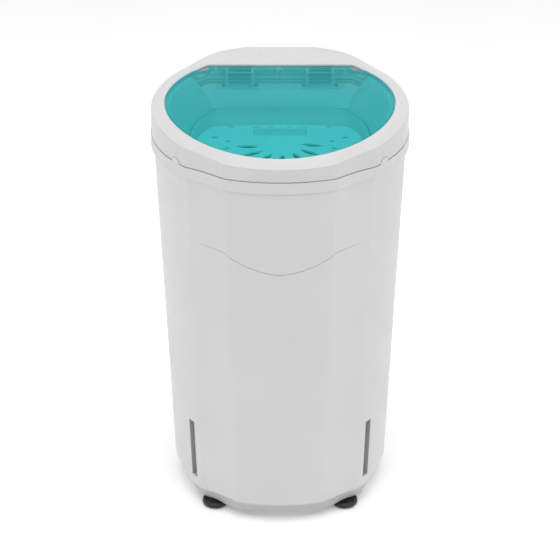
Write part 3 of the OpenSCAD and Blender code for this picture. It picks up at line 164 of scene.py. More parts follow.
def sharp_at(lv, az):
    """Radius of the outline at one azimuth, with its edges sharp."""
    a = abs((az + 180) % 360 - 180)
    r = min(lv[1], facet_at(lv, a))
    if a < 75:
        d = sind(a) * FLUTE_C.x - cosd(a) * FLUTE_C.y
        q = d * d - FLUTE_C.length_squared + flute_r(lv) ** 2
        if q > 0:
            r = min(r, d - sqrt(q))
    return r


def outline_at(lv, az, soft=0.34):
    """The same with its edges rounded a little."""
    return sum(sharp_at(lv, az + k * soft) for k in (-2, -1, 0, 1, 2)) / 5


def level_at(z):
    if z < BASE[0]:
        t = (z - LIP[0]) / (BASE[0] - LIP[0])
        return tuple(mix(a, b, t) for a, b in zip(LIP, BASE))
    t = (z - BASE[0]) / (PART_Z - BASE[0])
    return tuple(mix(a, b, t) for a, b in zip(BASE, TOP))


def dee_at(r, y, az):
    c = -cosd(az)
    return min(r, y / c) if c > 0.01 else r


def soft_dee(r, y, az, soft=1.1):
    return sum(dee_at(r, y, az + k * soft) for k in (-2, -1, 0, 1, 2)) / 5


# ------------------------------------------------------------------ meshes
def new_object(name, bm):
    bmesh.ops.recalc_face_normals(bm, faces=bm.faces)
    me = bpy.data.meshes.new(name)
    bm.to_mesh(me)
    bm.free()
    o = bpy.data.objects.new(name, me)
    bpy.context.scene.collection.objects.link(o)
    return o


def add_loft(bm, curves, loop=True, closed=True):
    """Quads between curves of equal length, given in millimetres; returns rows of vertices."""
    rows = [[bm.verts.new(P(*p)) for p in c] for c in curves]
    n = len(rows[0])
    pairs = list(zip(rows, rows[1:])) + ([(rows[-1], rows[0])] if loop else [])
    for a, b in pairs:
        for i in range(n if closed else n - 1):
            j = (i + 1) % n
            bm.faces.new((a[i], a[j], b[j], b[i]))
    return rows


def add_caps(bm, rows):
    bm.faces.new(rows[0][::-1])
    bm.faces.new(rows[-1])


def smooth_all(o, angle=34):
    """Smooth shading, with edges steeper than the angle kept sharp."""
    bm = bmesh.new()
    bm.from_mesh(o.data)
    for f in bm.faces:
        f.smooth = True
    for e in bm.edges:
        e.smooth = len(e.link_faces) == 2 and e.calc_face_angle(0) < radians(angle)
    bm.to_mesh(o.data)
    bm.free()
    return o


def bake(o):
    """The object's modifiers made real."""
    dg = bpy.context.evaluated_depsgraph_get()
    me = bpy.data.meshes.new_from_object(o.evaluated_get(dg))
    old = o.data
    o.modifiers.clear()
    o.data = me
    bpy.data.meshes.remove(old)
    return o


def soften(o, width=0.8, angle=34, segments=2):
    """Rounds the edges steeper than the angle, with flat faces kept flat."""
    for f in o.data.polygons:
        f.use_smooth = True
    b = o.modifiers.new("bevel", "BEVEL")
    b.width = width * 0.001
    b.segments = segments
    b.limit_method = "ANGLE"
    b.angle_limit = radians(angle)
    b.use_clamp_overlap = True
    b.harden_normals = False
    w = o.modifiers.new("normals", "WEIGHTED_NORMAL")
    w.keep_sharp = True
    return bake(o)


def lathe(bm, profile, cx=0.0, cy=0.0, n=64):
    """Revolves (radius, height) points about an upright axis; the ends are closed."""
    curves = [[(cx + r * cos(2 * pi * i / n), cy + r * sin(2 * pi * i / n), z) for i in range(n)]
              for r, z in profile]
    add_caps(bm, add_loft(bm, curves, loop=False))


def spread(a, b, n):
    return [a + (b - a) * i / n for i in range(n)]


def both_sides(half):
    """Azimuths from 0 to 180 mirrored into a full turn."""
    return half + [180.0] + [360 - a for a in half[:0:-1]]


# ------------------------------------------------------------------ materials
def lin(hexs):
    """Linear colour of an sRGB hex."""
    out = []
    for i in (0, 2, 4):
        v = int(hexs[i:i + 2], 16) / 255
        out.append(v / 12.92 if v <= 0.04045 else ((v + 0.055) / 1.055) ** 2.4)
    return (*out, 1.0)


def put(tree, kind, inputs=None, **settings):
    """Adds a node; an input is a constant, an output, or a node for its first output."""
    node = tree.nodes.new(kind)
    for key, value in settings.items():
        setattr(node, key, value)
    for key, value in (inputs or {}).items():
        if isinstance(value, bpy.types.Node):
            value = value.outputs[0]
        if isinstance(value, bpy.types.NodeSocket):
            tree.links.new(value, node.inputs[key])
        else:
            node.inputs[key].default_value = value
    return node


def new_material(name):
    m = bpy.data.materials.new(name)
    m.use_nodes = True
    m.node_tree.nodes.clear()
    return m, m.node_tree


def object_coords(tree, stretch=(1, 1, 1)):
    coords = put(tree, "ShaderNodeTexCoord").outputs["Object"]
    return put(tree, "ShaderNodeMapping", {"Vector": coords, "Scale": stretch})


def patches(tree, at, mm, detail, low, high, band=(0.3, 0.7), rough=0.5):
    """Uneven patches of about the given size, as a value that runs from low to high."""
    cloud = put(tree, "ShaderNodeTexNoise",
                {"Vector": at, "Scale": 1000 / mm, "Detail": detail, "Roughness": rough})
    return put(tree, "ShaderNodeMapRange",
               {"Value": cloud, "From Min": band[0], "From Max": band[1], "To Min": low, "To Max": high})


def relief(tree, at, mm, detail, depth, strength, rough=0.5):
    """Fine relief of about the given grain size, as a normal; the depth is in metres."""
    grain = put(tree, "ShaderNodeTexNoise",
                {"Vector": at, "Scale": 1000 / mm, "Detail": detail, "Roughness": rough})
    return put(tree, "ShaderNodeBump", {"Height": grain, "Distance": depth, "Strength": strength})


def finish(tree, base, layers, inputs, clear=None):
    """Lays colours over the base by their factors and ends in the surface; clear is (tint, share)."""
    colour = lin(base)
    for factor, over in layers:
        colour = put(tree, "ShaderNodeMix", {0: factor, 6: colour, 7: lin(over)}, data_type="RGBA").outputs[2]
    surface = put(tree, "ShaderNodeBsdfPrincipled", {"Base Color": colour, **inputs})
    if clear:
        through = put(tree, "ShaderNodeBsdfTransparent", {"Color": lin(clear[0])})
        surface = put(tree, "ShaderNodeMixShader", {0: clear[1], 1: through, 2: surface})
    put(tree, "ShaderNodeOutputMaterial", {"Surface": surface})


# A mould's or a casting's real grain is 0.05 to 0.2 mm, too fine to show at this distance, so
# each grain below is drawn about ten times as coarse.
def plastic(name, pale, dull, rough=0.38, uneven=0.06, grain=0.71, depth=0.00003, shine=0.5, painted_base_shade=None):
    """Moulded plastic: slow colour drift, uneven gloss and the mould's fine grain.

    The optional last argument is (low, high, shade): between the two heights in metres the base turns to the
    shade, a painted shade under the base's edge.
    """
    m, tree = new_material(name)
    at = object_coords(tree)
    layers = [(patches(tree, at, 143, 3.0, 0.0, 1.0), pale),
              (patches(tree, at, 3.85, 2.0, 0.0, 0.10, (0.5, 0.8)), dull)]
    # painted shade: the colour turns darker towards the bottom, between the two heights
    if painted_base_shade:
        low, high, shade = painted_base_shade
        parts = put(tree, "ShaderNodeSeparateXYZ", {0: put(tree, "ShaderNodeTexCoord").outputs["Object"]})
        layers.append((put(tree, "ShaderNodeMapRange", {"Value": parts.outputs["Z"], "From Min": low,
                                                        "From Max": high, "To Min": 1.0, "To Max": 0.0}), shade))
    finish(tree, dull, layers, {
        "Roughness": patches(tree, at, 43.5, 4.0, rough - uneven, rough + uneven),
        "Specular IOR Level": shine,
        "Normal": relief(tree, at, grain, 2.0, depth, 0.35)})
    return m


def metal(name, pale, dull, rough=0.32, stretch=(1, 1, 30), mm=25.0, pits=0.0):
    """Metal with streaks along one axis, spots of duller surface, and fine scratches or pits."""
    m, tree = new_material(name)
    at, plain = object_coords(tree, stretch), object_coords(tree)
    streaks = patches(tree, at, mm, 4.0, 0.0, 1.0, rough=0.6)
    gloss = patches(tree, at, mm, 4.0, rough - 0.08, rough + 0.1, rough=0.6)
    dulled = patches(tree, plain, 71.4, 3.0, 0.0, 0.35, (0.45, 0.75))
    marks = (relief(tree, plain, 2.38, 3.0, pits, 0.4, 0.6) if pits
             else relief(tree, at, mm, 4.0, 0.00002, 0.4, 0.6))
    finish(tree, dull, [(streaks, pale), (dulled, dull)], {"Metallic": 1.0, "Roughness": gloss, "Normal": marks})
    return m


def rubber(name, pale, dull, rough=0.35, grain=1.43):
    """Moulded rubber: matt, a little uneven, with a coarse skin."""
    m, tree = new_material(name)
    at = object_coords(tree)
    finish(tree, dull, [(patches(tree, at, 25, 4.0, 0.0, 1.0), pale)], {
        "Roughness": patches(tree, at, 18.2, 3.0, rough - 0.07, rough + 0.1),
        "Normal": relief(tree, at, grain, 3.0, 0.00006, 0.4)})
    return m


def see_through(name, clear_tint, body, body_low, share=0.3):
    """Tinted clear plastic: light passes tinted at each face, and a share is scattered and glossy."""
    m, tree = new_material(name)
    at = object_coords(tree)
    finish(tree, body, [(patches(tree, at, 200, 2.0, 0.0, 1.0), body_low)], {
        "Roughness": patches(tree, at, 33.3, 3.0, 0.07, 0.13),
        "Normal": relief(tree, at, 16.7, 2.0, 0.00004, 0.15)}, (clear_tint, share))
    return m


def laminated(name, pale, dull, sheet=1.047):
    """Stacked sheets: bands across the height, drawn twice as thick as the real 0.5 mm sheets."""
    m, tree = new_material(name)
    at = object_coords(tree)
    bands = put(tree, "ShaderNodeTexWave", {"Vector": at, "Scale": 100 * pi / sheet, "Distortion": 0.6,
                                            "Detail": 1.0}, bands_direction="Z").outputs[1]
    finish(tree, dull, [(bands, pale), (patches(tree, at, 33.3, 4.0, 0.0, 0.5), dull)], {
        "Metallic": 0.7, "Roughness": 0.48,
        "Normal": put(tree, "ShaderNodeBump", {"Height": bands, "Distance": 0.0001, "Strength": 0.5})})
    return m


WALL_WHITE = ("d4d4d5", "d0d0d1", 0.40)
MATS = {
    # polypropylene moulded in a finely etched mould: wide, weak highlights on the walls
    "white_plastic": plastic("white_plastic", *WALL_WHITE, shine=0.2),
    # the same plastic from a smoother mould: a little glossier and more even
    "cover_plastic": plastic("cover_plastic", "d1d1d2", "cecece", 0.30, 0.025, 1.0, 0.00001, 0.22),
    # tinted clear polystyrene from a polished mould: what lies under it shows in teal
    "lid_plastic": see_through("lid_plastic", "c8f3f4", "00d0d4", "04c8cc", 0.185),
    # moulded polypropylene with a trace of green: pale and satin
    "inner_plastic": plastic("inner_plastic", "e6f4f3", "dfefee", 0.36),
    # unpainted moulded polypropylene: milky and rather matt
    "tub_plastic": plastic("tub_plastic", "dfe2e4", "d5d9dc", 0.45, grain=1.25),
    # drawn stainless sheet, brushed round the drum: long streaks of light
    "stainless": metal("stainless", "83868a", "6c6f73", 0.3, (1, 1, 0.06), 1.11),
    # zinc-plated pressed steel: light grey with soft spangles
    "zinc_steel": metal("zinc_steel", "c3c6ca", "a4a8ad", 0.36, (1, 1, 1), 8.33),
    # die-cast aluminium, left as cast: dull, with small pits
    "cast_alloy": metal("cast_alloy", "b2b4b6", "8f9295", 0.5, (1, 1, 1), 16.7, pits=0.0002),
    # moulded black rubber: near black with a soft sheen
    "black_rubber": rubber("black_rubber", "0d0d0e", "080809", 0.42),
    # moulded grey plastic with an even satin skin
    "grey_plastic": plastic("grey_plastic", "92969a", "83878b", 0.45, grain=1.43),
    # moulded black nylon: dark and faintly grained
    "dark_plastic": plastic("dark_plastic", "33353a", "26272a", 0.42, grain=1.43, depth=0.00005),
    # stacked electrical steel: dark bands with lighter edges
    "laminations": laminated("laminations", "6f7377", "474a4e"),
    # enamelled copper wire: warm, with streaks along the wires
    "copper": metal("copper", "c77b45", "8d4a25", 0.3, (1, 1, 22), 16.7),
    # pressed brake lining: brown and quite matt
    "lining": rubber("lining", "52483f", "352e28", 0.8, 0.667),
}
NODE_SLOT = {s["node"]: s["material_slot"] for s in frame["record"]["subparts"]}
for name, o in NODES.items():
    o.data.materials.clear()
    o.data.materials.append(MATS[NODE_SLOT[name]])


def place(o, body, slot, *nodes):
    """The piece rides, takes its finish and stands for its CAD nodes."""
    if not o.data.materials:
        o.data.materials.append(MATS[slot])
    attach(o, body)
    if nodes:
        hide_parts(*nodes)
    return o


# ------------------------------------------------------------------ cabinet
WALL = 3.0
SLOT_AZ, SLOT_HALF = 53.0, 2.25  # the upright slots: azimuth and half width in degrees
SLOT_LOW, SLOT_HIGH, SLOT_DEPTH = 55.0, 173.0, 9.0
ARCH_HALF, ARCH_RISE = 63.0, 13.0  # the arches in the lowest edge
ARCH_R = (ARCH_HALF ** 2 + ARCH_RISE ** 2) / (2 * ARCH_RISE)
LIP_R = 172.0
FOOT_AZ = [degrees(atan2(sx * 116, -sy * 121)) % 360 for sx in (-1, 1) for sy in (-1, 1)]
FOOT_ARCH_R, FOOT_ARCH_TOP, FOOT_ARCH_HALF = 60.0, 16.5, 50.0
SIDE_LIFT = 13.0  # how far the base's edge is lifted at the sides
LIFT_TOP, LIFT_FADE = 80.0, 42.0  # the wall is undisturbed from LIFT_TOP up
SMILE_LOW, SMILE_RISE, SMILE_HALF = 512.6, 32.4, 26.3  # lowest height, rise and half width in degrees


def lip_height(az):
    """Height of the lowest edge: flat arches on four sides, and a small one over each foot."""
    z = LIP[0]
    for x in (LIP_R * sind(az), LIP_R * cosd(az)):
        if abs(x) < ARCH_HALF:
            z = max(z, LIP[0] + ARCH_RISE - ARCH_R + sqrt(ARCH_R ** 2 - x * x))
    for f in FOOT_AZ:
        d = LIP_R * radians(abs((az - f + 180) % 360 - 180))
        if d < FOOT_ARCH_HALF:
            z = max(z, FOOT_ARCH_TOP - FOOT_ARCH_R + sqrt(FOOT_ARCH_R ** 2 - d * d))
    return z


def smile_z(az):
    """Height of the shallow step that hangs across the front like a smile."""
    a = abs((az + 180) % 360 - 180)
    return SMILE_LOW + SMILE_RISE * min(1.0, (a / SMILE_HALF) ** 1.7) + 2.0 * smooth((a - SMILE_HALF) / 12)


def smile_out(az, depth=0.7):
    """How far the wall stands out under the smile line, fading out towards the sides."""
    a = abs((az + 180) % 360 - 180)
    return depth * (1 - smooth((a - 33) / 12))


def side_rise(az):
    """Share of the lift that the base's edge has between each slot and the machine's widest point."""
    a = abs((az + 180) % 360 - 180)
    a = min(a, 180 - a)
    return smooth((a - 55) / 12) * (1 - smooth((a - 76) / 14))


def lifted(z):
    """A height of the wall near its lower edge, carried up where that edge is lifted."""
    return lambda az: z + SIDE_LIFT * side_rise(az) * clamp01((LIFT_TOP - z) / LIFT_FADE)


def cabinet_columns(lv):
    a, b = edge_in(lv), edge_out(lv)
    half = (spread(0, a - 1, 12) + [a - 1, a - 0.5, a, a + 0.5, a + 1] + spread(a + 2, b - 1, 10)
            + [b - 1, b - 0.5, b, b + 0.5] + [SLOT_AZ - SLOT_HALF - 0.6, SLOT_AZ - SLOT_HALF]
            + [SLOT_AZ, SLOT_AZ + SLOT_HALF, SLOT_AZ + SLOT_HALF + 0.6] + spread(57, 180, 62))
    return both_sides(half)


def cabinet_curve(z_at, inset=0.0, push=None, level=None, taken=None):
    """One row of the cabinet; its outline may be taken at another height."""
    taken = taken or z_at
    base = level_at(taken(90))
    out = []
    for i, az0 in enumerate(cabinet_columns(level or base)):
        z = z_at(az0)
        lv = level or level_at(taken(az0))
        az = cabinet_columns(lv)[i] if level is None and taken(0) != taken(90) else az0
        r = outline_at(lv, az) - inset + (push(az) if push else 0.0)
        out.append(polar(r, az, z))
    return out


def cabinet():
    flat = lambda z: (lambda az: z)
    out, inn = [], []

    def bevel(t, inset=0.0):
        return cabinet_curve(lambda az: mix(lip_height(az), lifted(38)(az), t), inset,
                             push=lambda az: -SIDE_LIFT * side_rise(az) * (1 - t),
                             taken=lambda az: mix(lip_height(az), 38.0, t))

    for t in (0, 0.35, 0.7, 0.97):
        out.append(bevel(t))
    heights = (38.8, 46, 53, SLOT_LOW, 75, 100, 125, 150, SLOT_HIGH, 175, 200, 240, 290, 340, 390, 440)
    slot_rows = [len(out) + heights.index(z) for z in (SLOT_LOW, SLOT_HIGH)]
    out += [cabinet_curve(lifted(z)) for z in heights]
    for t in (0.4, 0.75, 0.95):
        out.append(cabinet_curve(lambda az, t=t: mix(440, smile_z(az), t)))
    for up, depth in ((-0.9, 0.0), (-0.6, -1.0), (0.4, -1.0), (0.7, 0.8), (3, 0.8)):
        out.append(cabinet_curve(lambda az, u=up: smile_z(az) + u,
                                 push=lambda az, d=depth: smile_out(az, d)))
    for t in (0.25, 0.6):
        out.append(cabinet_curve(lambda az, t=t: mix(smile_z(az) + 3, 646, t),
                                 push=lambda az, t=t: smile_out(az) * (1 - t)))
    out.append(cabinet_curve(flat(646.2)))
    out.append(cabinet_curve(flat(647.6), push=lambda az: 0.25))
    # the band under the parting line, its shadow gap, and the tongue that the top cover sits over
    low, high = (664.0, 221.5, 213.4), (688.0, 221.5, 214.0)
    out.append(cabinet_curve(flat(664.4), inset=2.3, level=low))
    out.append(cabinet_curve(flat(666.2), inset=2.1, level=low))
    out.append(cabinet_curve(flat(667.0), level=low))
    out.append(cabinet_curve(flat(686.5), level=high))
    out.append(cabinet_curve(flat(687.2), inset=0.7, level=high))
    tongue = (688.0, 216.7, 210.7)
    out.append(cabinet_curve(flat(687.0), level=tongue))
    out.append(cabinet_curve(flat(701.0), level=tongue))
    out.append(cabinet_curve(flat(701.0), inset=2.4, level=tongue))
    out.append(cabinet_curve(flat(664.0), inset=2.4, level=tongue))
    inner_heights = (640, 560, 400, 290, 200, 175, SLOT_HIGH, 150, 125, 100, 75, SLOT_LOW, 53, 46, 38.2)
    inner_rows = [len(out) + inner_heights.index(z) for z in (SLOT_HIGH, SLOT_LOW)]
    inn += [cabinet_curve(lifted(z), inset=WALL) for z in inner_heights]
    inn.append(bevel(0.5, WALL))
    inn.append(bevel(0.0, WALL - 0.4))
    bm = bmesh.new()
    rows = add_loft(bm, out + inn)
    sink_slots(bm, rows, slot_rows, inner_rows)
    return soften(new_object("cabinet_shell", bm), 0.7, 32)


def sink_slots(bm, rows, outer_rows, inner_rows):
    """Pushes the faces of both slots inward, on the wall's outside and its inside."""
    cols = cabinet_columns(level_at(100))
    n = len(cols)
    first = next(i for i, a in enumerate(cols) if abs(a - (SLOT_AZ - SLOT_HALF)) < 0.01)
    faces = {frozenset(f.verts): f for f in bm.faces}
    for az, start in ((SLOT_AZ, first), (-SLOT_AZ, n - first - 2)):
        for (top, end), depth in ((outer_rows, SLOT_DEPTH), (inner_rows, SLOT_DEPTH - 1.2)):
            found = [faces[frozenset((rows[r][c], rows[r][(c + 1) % n], rows[r + 1][(c + 1) % n], rows[r + 1][c]))]
                     for c in (start, start + 1) for r in range(top, end)]
            got = bmesh.ops.extrude_face_region(bm, geom=found)
            inward = Vector((-sind(az), cosd(az), 0)) * depth * 0.001
            moved = [g for g in got["geom"] if isinstance(g, bmesh.types.BMVert)]
            bmesh.ops.translate(bm, vec=inward, verts=moved)
            bmesh.ops.delete(bm, geom=found, context="FACES_ONLY")


def snap_bumps():
    """Half-round noses on the cabinet's edge that stand in the ring's two notches."""
    bm = bmesh.new()
    for s in (-1, 1):
        curves = []
        for depth, r in ((0.0, 8.9), (0.3, 9.4), (1.0, 9.7), (6.0, 9.7)):
            c = [(s * 52 + degrees(k * r / 220), 684.5) for k in (-1, -0.5, 0, 0.5, 1)]
            c += [(s * 52 + degrees(r * cosd(7.5 * i) / 220), 687.4 + r * sind(7.5 * i)) for i in range(25)]
            curves.append([polar(221.6 - depth, az, z) for az, z in c])
        add_caps(bm, add_loft(bm, curves, loop=False))
    return smooth_all(new_object("snap_bumps", bm), 50)


def slot_painted_shade_sheets():
    """Darker sheets inside the two upright slots: painted shade in their recesses."""
    bm = bmesh.new()
    w = 193 * sind(SLOT_HALF)
    for s in (-1, 1):
        n = Vector((s * sind(SLOT_AZ), -cosd(SLOT_AZ)))
        t = Vector((n.y, -n.x))
        u = [(-w + 0.1, -0.7), (-w + 0.1, -8.9), (w - 0.1, -8.9), (w - 0.1, -0.7),
             (w - 0.5, -0.7), (w - 0.5, -8.5), (-w + 0.5, -8.5), (-w + 0.5, -0.7)]
        curves = []
        for z in (SLOT_LOW + 0.3, 90.0, 130.0, SLOT_HIGH - 0.3):
            mid = n * (level_at(z)[1] * cosd(SLOT_HALF))
            curves.append([(mid.x + t.x * a + n.x * b, mid.y + t.y * a + n.y * b, z) for a, b in u])
        add_caps(bm, add_loft(bm, curves, loop=False))
    return smooth_all(new_object("slot_painted_shade_sheets", bm), 30)


cab = cabinet()
bumps = snap_bumps()
# the wall's plastic again, with painted shade darkening it under the base's edge
cab.data.materials.append(plastic("cabinet_plastic", *WALL_WHITE, shine=0.2, painted_base_shade=(0.034, 0.039, "b6b6b7")))
place(cab, "machine", "white_plastic", "cabinet")
place(bumps, "machine", "white_plastic")
# sheets of painted shade darken the two slots' recesses
shade_sheets = slot_painted_shade_sheets()
shade_sheets.data.materials.append(plastic("slot_painted_shade_plastic", "aeaeaf", "a4a4a6", 0.5))
place(shade_sheets, "machine", "white_plastic")


# ------------------------------------------------------------------ top cover
BOW_R, BOW_FROM, BOW_TOP = 1458.0, 20.0, 741.0  # the large arc that the lid and its opening follow
# Radius and rear wall of the funnel's edge and of the throat from top to ledge
FUNNEL, THROAT_TOP, THROAT_LOW, LEDGE = (187.0, 131.0), (153.0, 107.0), (150.5, 91.0), (145.5, 86.0)
THROAT_Z, LEDGE_Z = 673.0, 643.0


def rim_out_z(y):
    """Height of the cover's outer rim at a distance behind the drum axis."""
    dip = max(0.0, (-y - 95) / (RING[2] - 95)) ** 1.4
    return PART_Z + 45 + 0.03 * y - 13.6 * dip + 3 * smooth((y - 140) / 55) + 1.5 * smooth(y / 140)


def rim_in_z(y):
    """Height of the opening's rim there."""
    return BOW_TOP - (BOW_R - sqrt(BOW_R ** 2 - min(0.0, y - BOW_FROM) ** 2))


def console_at(az):
    a = abs(az - 180)
    return min(220 + 12 * smooth((50 - a) / 26), 224 / cosd(min(a, 60)))


def seat_at(az):
    return 196.5 + 3.5 * (1 - smooth(abs(abs(az - 180) - 38) / 9))


def top_at(az):
    az = az % 360
    return max(outline_at(RING, az), console_at(az) if abs(az - 180) < 60 else 0)


def rear_part(az):
    return 1 - smooth((abs(az - 180) - 46) / 8)


SNAP_AZ, SNAP_R = 52.0, 10.7
NOTCH = degrees(10.58 / 220)


def ring_columns():
    half = (spread(0, 24.4, 16) + [24.4, 24.9, 25.4, 25.9, 26.4] + spread(28, 44, 12)
            + [44.4, 44.9, 45.4, 45.9, 46.4, 48] + [SNAP_AZ - NOTCH - 0.1]
            + spread(SNAP_AZ - NOTCH, SNAP_AZ + NOTCH, 16) + [SNAP_AZ + NOTCH, SNAP_AZ + NOTCH + 0.1]
            + spread(57, 128, 40) + spread(128, 180, 84))
    return both_sides(half)


def ring_bottom(az):
    a = abs((az + 180) % 360 - 180)
    t = radians(a - SNAP_AZ) * 220
    if abs(t) > 10.6:
        return 688.7
    return max(688.7, 687 + sqrt(max(0.0, SNAP_R ** 2 - t * t)))


def console_relief(x, y):
    """Heights added to the console's top: sunk panels either side of the middle, each with a
    small nose at its inner front corner, and rounded shoulders at the rear."""
    if y < 140:
        return 0.0
    r = hypot(x, y)
    ax = abs(x)
    panel = (smooth((ax - 34) / 1.6) * smooth((72 - ax) / 6) * smooth((y - 158.5) / 1.4)
             * smooth((199 - r) / 3))
    nub = 1.3 * (1 - smooth(hypot(ax - 29.5, y - 161) / 4.5))
    shoulder = 2.2 * smooth((ax - 45) / 25) * (1 - smooth((ax - 100) / 28)) * smooth((y - 165) / 25)
    return -1.3 * panel + nub - shoulder


RIBS = (735.5, 727.5, 719.4, 711.2, 705.6)


def rib_rows():
    """Shares of the way down the console's front wall, and the depth of its horizontal grooves there."""
    out = []
    for g in RIBS:
        for z, depth in ((g + 1.9, 0.0), (g + 0.9, 2.4), (g - 0.5, 2.4), (g - 0.9, 0.0)):
            out.append(((738.8 - z) / 35.6, depth))
    return out


def ring_profile(az):
    o = outline_at(RING, az)
    t = top_at(az)
    yo = -cosd(az) * t
    zo = rim_out_z(yo)
    s = sum(dee_at(seat_at((az + k) % 360), 153.5, az + k) for k in (-1.0, -0.5, 0, 0.5, 1.0)) / 5
    yi = -cosd(az) * s
    zi = rim_in_z(yi)
    rear = rear_part(az)
    step = mix(zi - 8, 702.0, rear)
    zb = ring_bottom(az)
    pts = [(o - 0.7, zb), (o, zb + 0.7), (o, max(zb + 1.5, 697.5)), (mix(o, t, 0.5), 703.0), (t, 708.5)]
    pts += [(t, mix(708.5, zo - 2.0, 0.6))]
    k = 1.9
    for a in (0, 22, 45, 67, 90):
        pts.append((t - k + k * cosd(a), zo - k + k * sind(a)))
    r0, r1 = t - k, s + 2.2
    for i in range(1, 27):
        u = i / 27
        r = mix(r0, r1, u)
        z = mix(zo, zi, 1 - (1 - u) ** 1.15)
        x, y = r * sind(az), -r * cosd(az)
        pts.append((r, z + console_relief(x, y)))
    for a in (90, 60, 30, 0):
        pts.append((s + 2.2 - 2.2 * cosd(a), zi - 2.2 + 2.2 * sind(a)))
    for share, depth in rib_rows():
        z = mix(zi - 2.2, step + 1.2, share)
        pts.append((s + depth * rear / max(0.7, -cosd(az)), z))
    pts.append((s, step + 1.2))
    f = soft_dee(*FUNNEL, az)
    pts += [(s - 0.4, step + 0.35), (s - 1.2, step)]
    pts += [(mix(s - 1.2, f + 1.5, 0.5), step), (f + 1.5, step), (f - 0.4, step - 0.5)]
    th = soft_dee(*THROAT_TOP, az)
    pts += [(mix(f, th, 0.33), mix(step, 675, 0.34)), (mix(f, th, 0.66), mix(step, 675, 0.67)),
            (th + 3.0, mix(step, 675, 0.93)), (th + 2.7, 671.2), (th + 1.0, 671.0), (th + 0.9, 674.9),
            (th, 674.4), (th, THROAT_Z)]
    tl = soft_dee(*THROAT_LOW, az)
    pts += [(mix(th, tl, 0.5), 660.0), (tl, 646.8), (tl - 0.8, 646.0)]
    lo = soft_dee(*LEDGE, az)
    pts += [(lo + 0.6, 646.0), (lo, 645.4), (lo, LEDGE_Z)]
    # back up along the underside, one wall away
    pts += [(soft_dee(THROAT_LOW[0] + WALL, THROAT_LOW[1] + WALL, az), LEDGE_Z),
            (soft_dee(THROAT_TOP[0] + WALL, THROAT_TOP[1] + WALL, az), THROAT_Z),
            (soft_dee(FUNNEL[0] + WALL, FUNNEL[1] + WALL, az), step - WALL)]
    pts += [(s + WALL, step - WALL), (s + WALL, zi - 5), (t - 4.2, zo - 4.6), (t - WALL, min(707.0, zo - 5.5)),
            (o - WALL, 697.0), (o - WALL, zb)]
    return pts


def top_cover():
    cols = ring_columns()
    profs = [ring_profile(a) for a in cols]
    curves = [[polar(prof[k][0], a, prof[k][1]) for a, prof in zip(cols, profs)] for k in range(len(profs[0]))]
    bm = bmesh.new()
    add_loft(bm, curves)
    return smooth_all(new_object("top_cover_shell", bm), 38)


def throat_groove_shade():
    """Dark ring in the bottom of the groove round the top of the throat: painted shade in the groove."""
    curves = []
    cols = both_sides(spread(0, 180, 90))
    for add, z in ((1.1, 671.2), (1.1, 673.4), (2.5, 673.4), (2.5, 671.2)):
        curves.append([polar(soft_dee(*THROAT_TOP, a) + add, a, z) for a in cols])
    bm = bmesh.new()
    add_loft(bm, curves)
    return smooth_all(new_object("throat_groove_shade", bm), 30)


place(top_cover(), "machine", "cover_plastic", "top_cover")
# a dark ring as painted shade in the throat's groove
place(throat_groove_shade(), "machine", "dark_plastic")


# ------------------------------------------------------------------ lid
HINGE_Y, HINGE_Z, ROLL_R, ROLL_HALF = 140.0, 729.8, 12.0, 111.0
ROLL_T = 2.6  # thickness of the rolled edge
NOTCH_HALF = 5.2  # half width of the notch for the switch plunger
EARS = ((45.5, 50.5), (91.1, 96.1))  # where the brackets' ears stand in the roll
LID_R, LID_CORNER = 195.0, 125.0  # the lid's radius, and how far out its rear corners are cut
KNUCKLE_R, KNUCKLE_BORE = 11.0, 3.05


def lid_plan(r, y, az, cut=False):
    """Radius of the lid's outline at an azimuth; its rear corners may be cut square."""
    q = dee_at(r, y, az)
    corner = LID_CORNER - (LID_R - r)
    if cut and -q * cosd(az) > corner and q * abs(sind(az)) > corner:
        q = max(corner / -cosd(az), corner / abs(sind(az)))
    return q


def lid_z(y, up):
    return rim_in_z(min(y, HINGE_Y + 1)) + 0.8 + up


def lid_columns():
    half = (spread(0, 60, 24) + spread(60, 125, 26) + spread(125, 145, 40) + spread(145, 177, 32)
            + [177.0, 177.6, 177.8, 178.6, 179.3])
    return both_sides(half)


# Rows over the lid's top, round its edge and back under it: radius, rear reach, height over
# the arc, whether the corners are cut, and the height at the rear edge where it differs
LID_ROWS = [(166 * f, 121 * f, 1.6) for f in (0.02, 0.2, 0.4, 0.6, 0.8, 0.93)] + [
    (166.0, 121.2, 1.6), (167.4, 122.4, 1.45), (172.5, 127.6, 0.8), (177.0, 132.2, 0.15), (178.6, 133.6, 0.0),
    (186.0, 138.0, 0.0, True), (193.2, 142.0, 0.0, True), (194.5, 142.8, -0.45, True, -0.2),
    (LID_R, 143.0, -1.5, True, -0.8), (LID_R, 143.0, -6.5, True, -1.6), (194.6, 142.8, -7.0, True, -2.2),
    (193.0, 142.4, -7.0, True, -2.6), (192.5, 142.2, -6.5, True, -2.6), (192.4, 142.0, -3.2, True, -2.6),
    (191.4, 141.4, -2.6, True, -2.6), (178.0, 133.0, -2.6), (167.0, 122.0, -1.0), (120.0, 88.0, -1.0),
    (60.0, 44.0, -1.0), (3.3, 2.4, -1.0)]


def lid():
    cols = lid_columns()
    rows = []

    def row(r, y, up, cut=False, rear_up=None):
        c = []
        for a in cols:
            q = lid_plan(r, y, a, cut)
            yy = -cosd(a) * q
            x = q * sind(a)
            lift = up
            if rear_up is not None and yy > y - 0.6 and abs(x) < ROLL_HALF + 4:
                lift = rear_up
            if abs(x) < NOTCH_HALF:
                yy = min(yy, HINGE_Y - 0.7)
            c.append((x, yy, lid_z(yy, lift)))
        rows.append(c)

    for line in LID_ROWS:
        row(*line)
    bm = bmesh.new()
    add_caps(bm, add_loft(bm, rows, loop=False))
    return smooth_all(new_object("lid_shell", bm), 40)


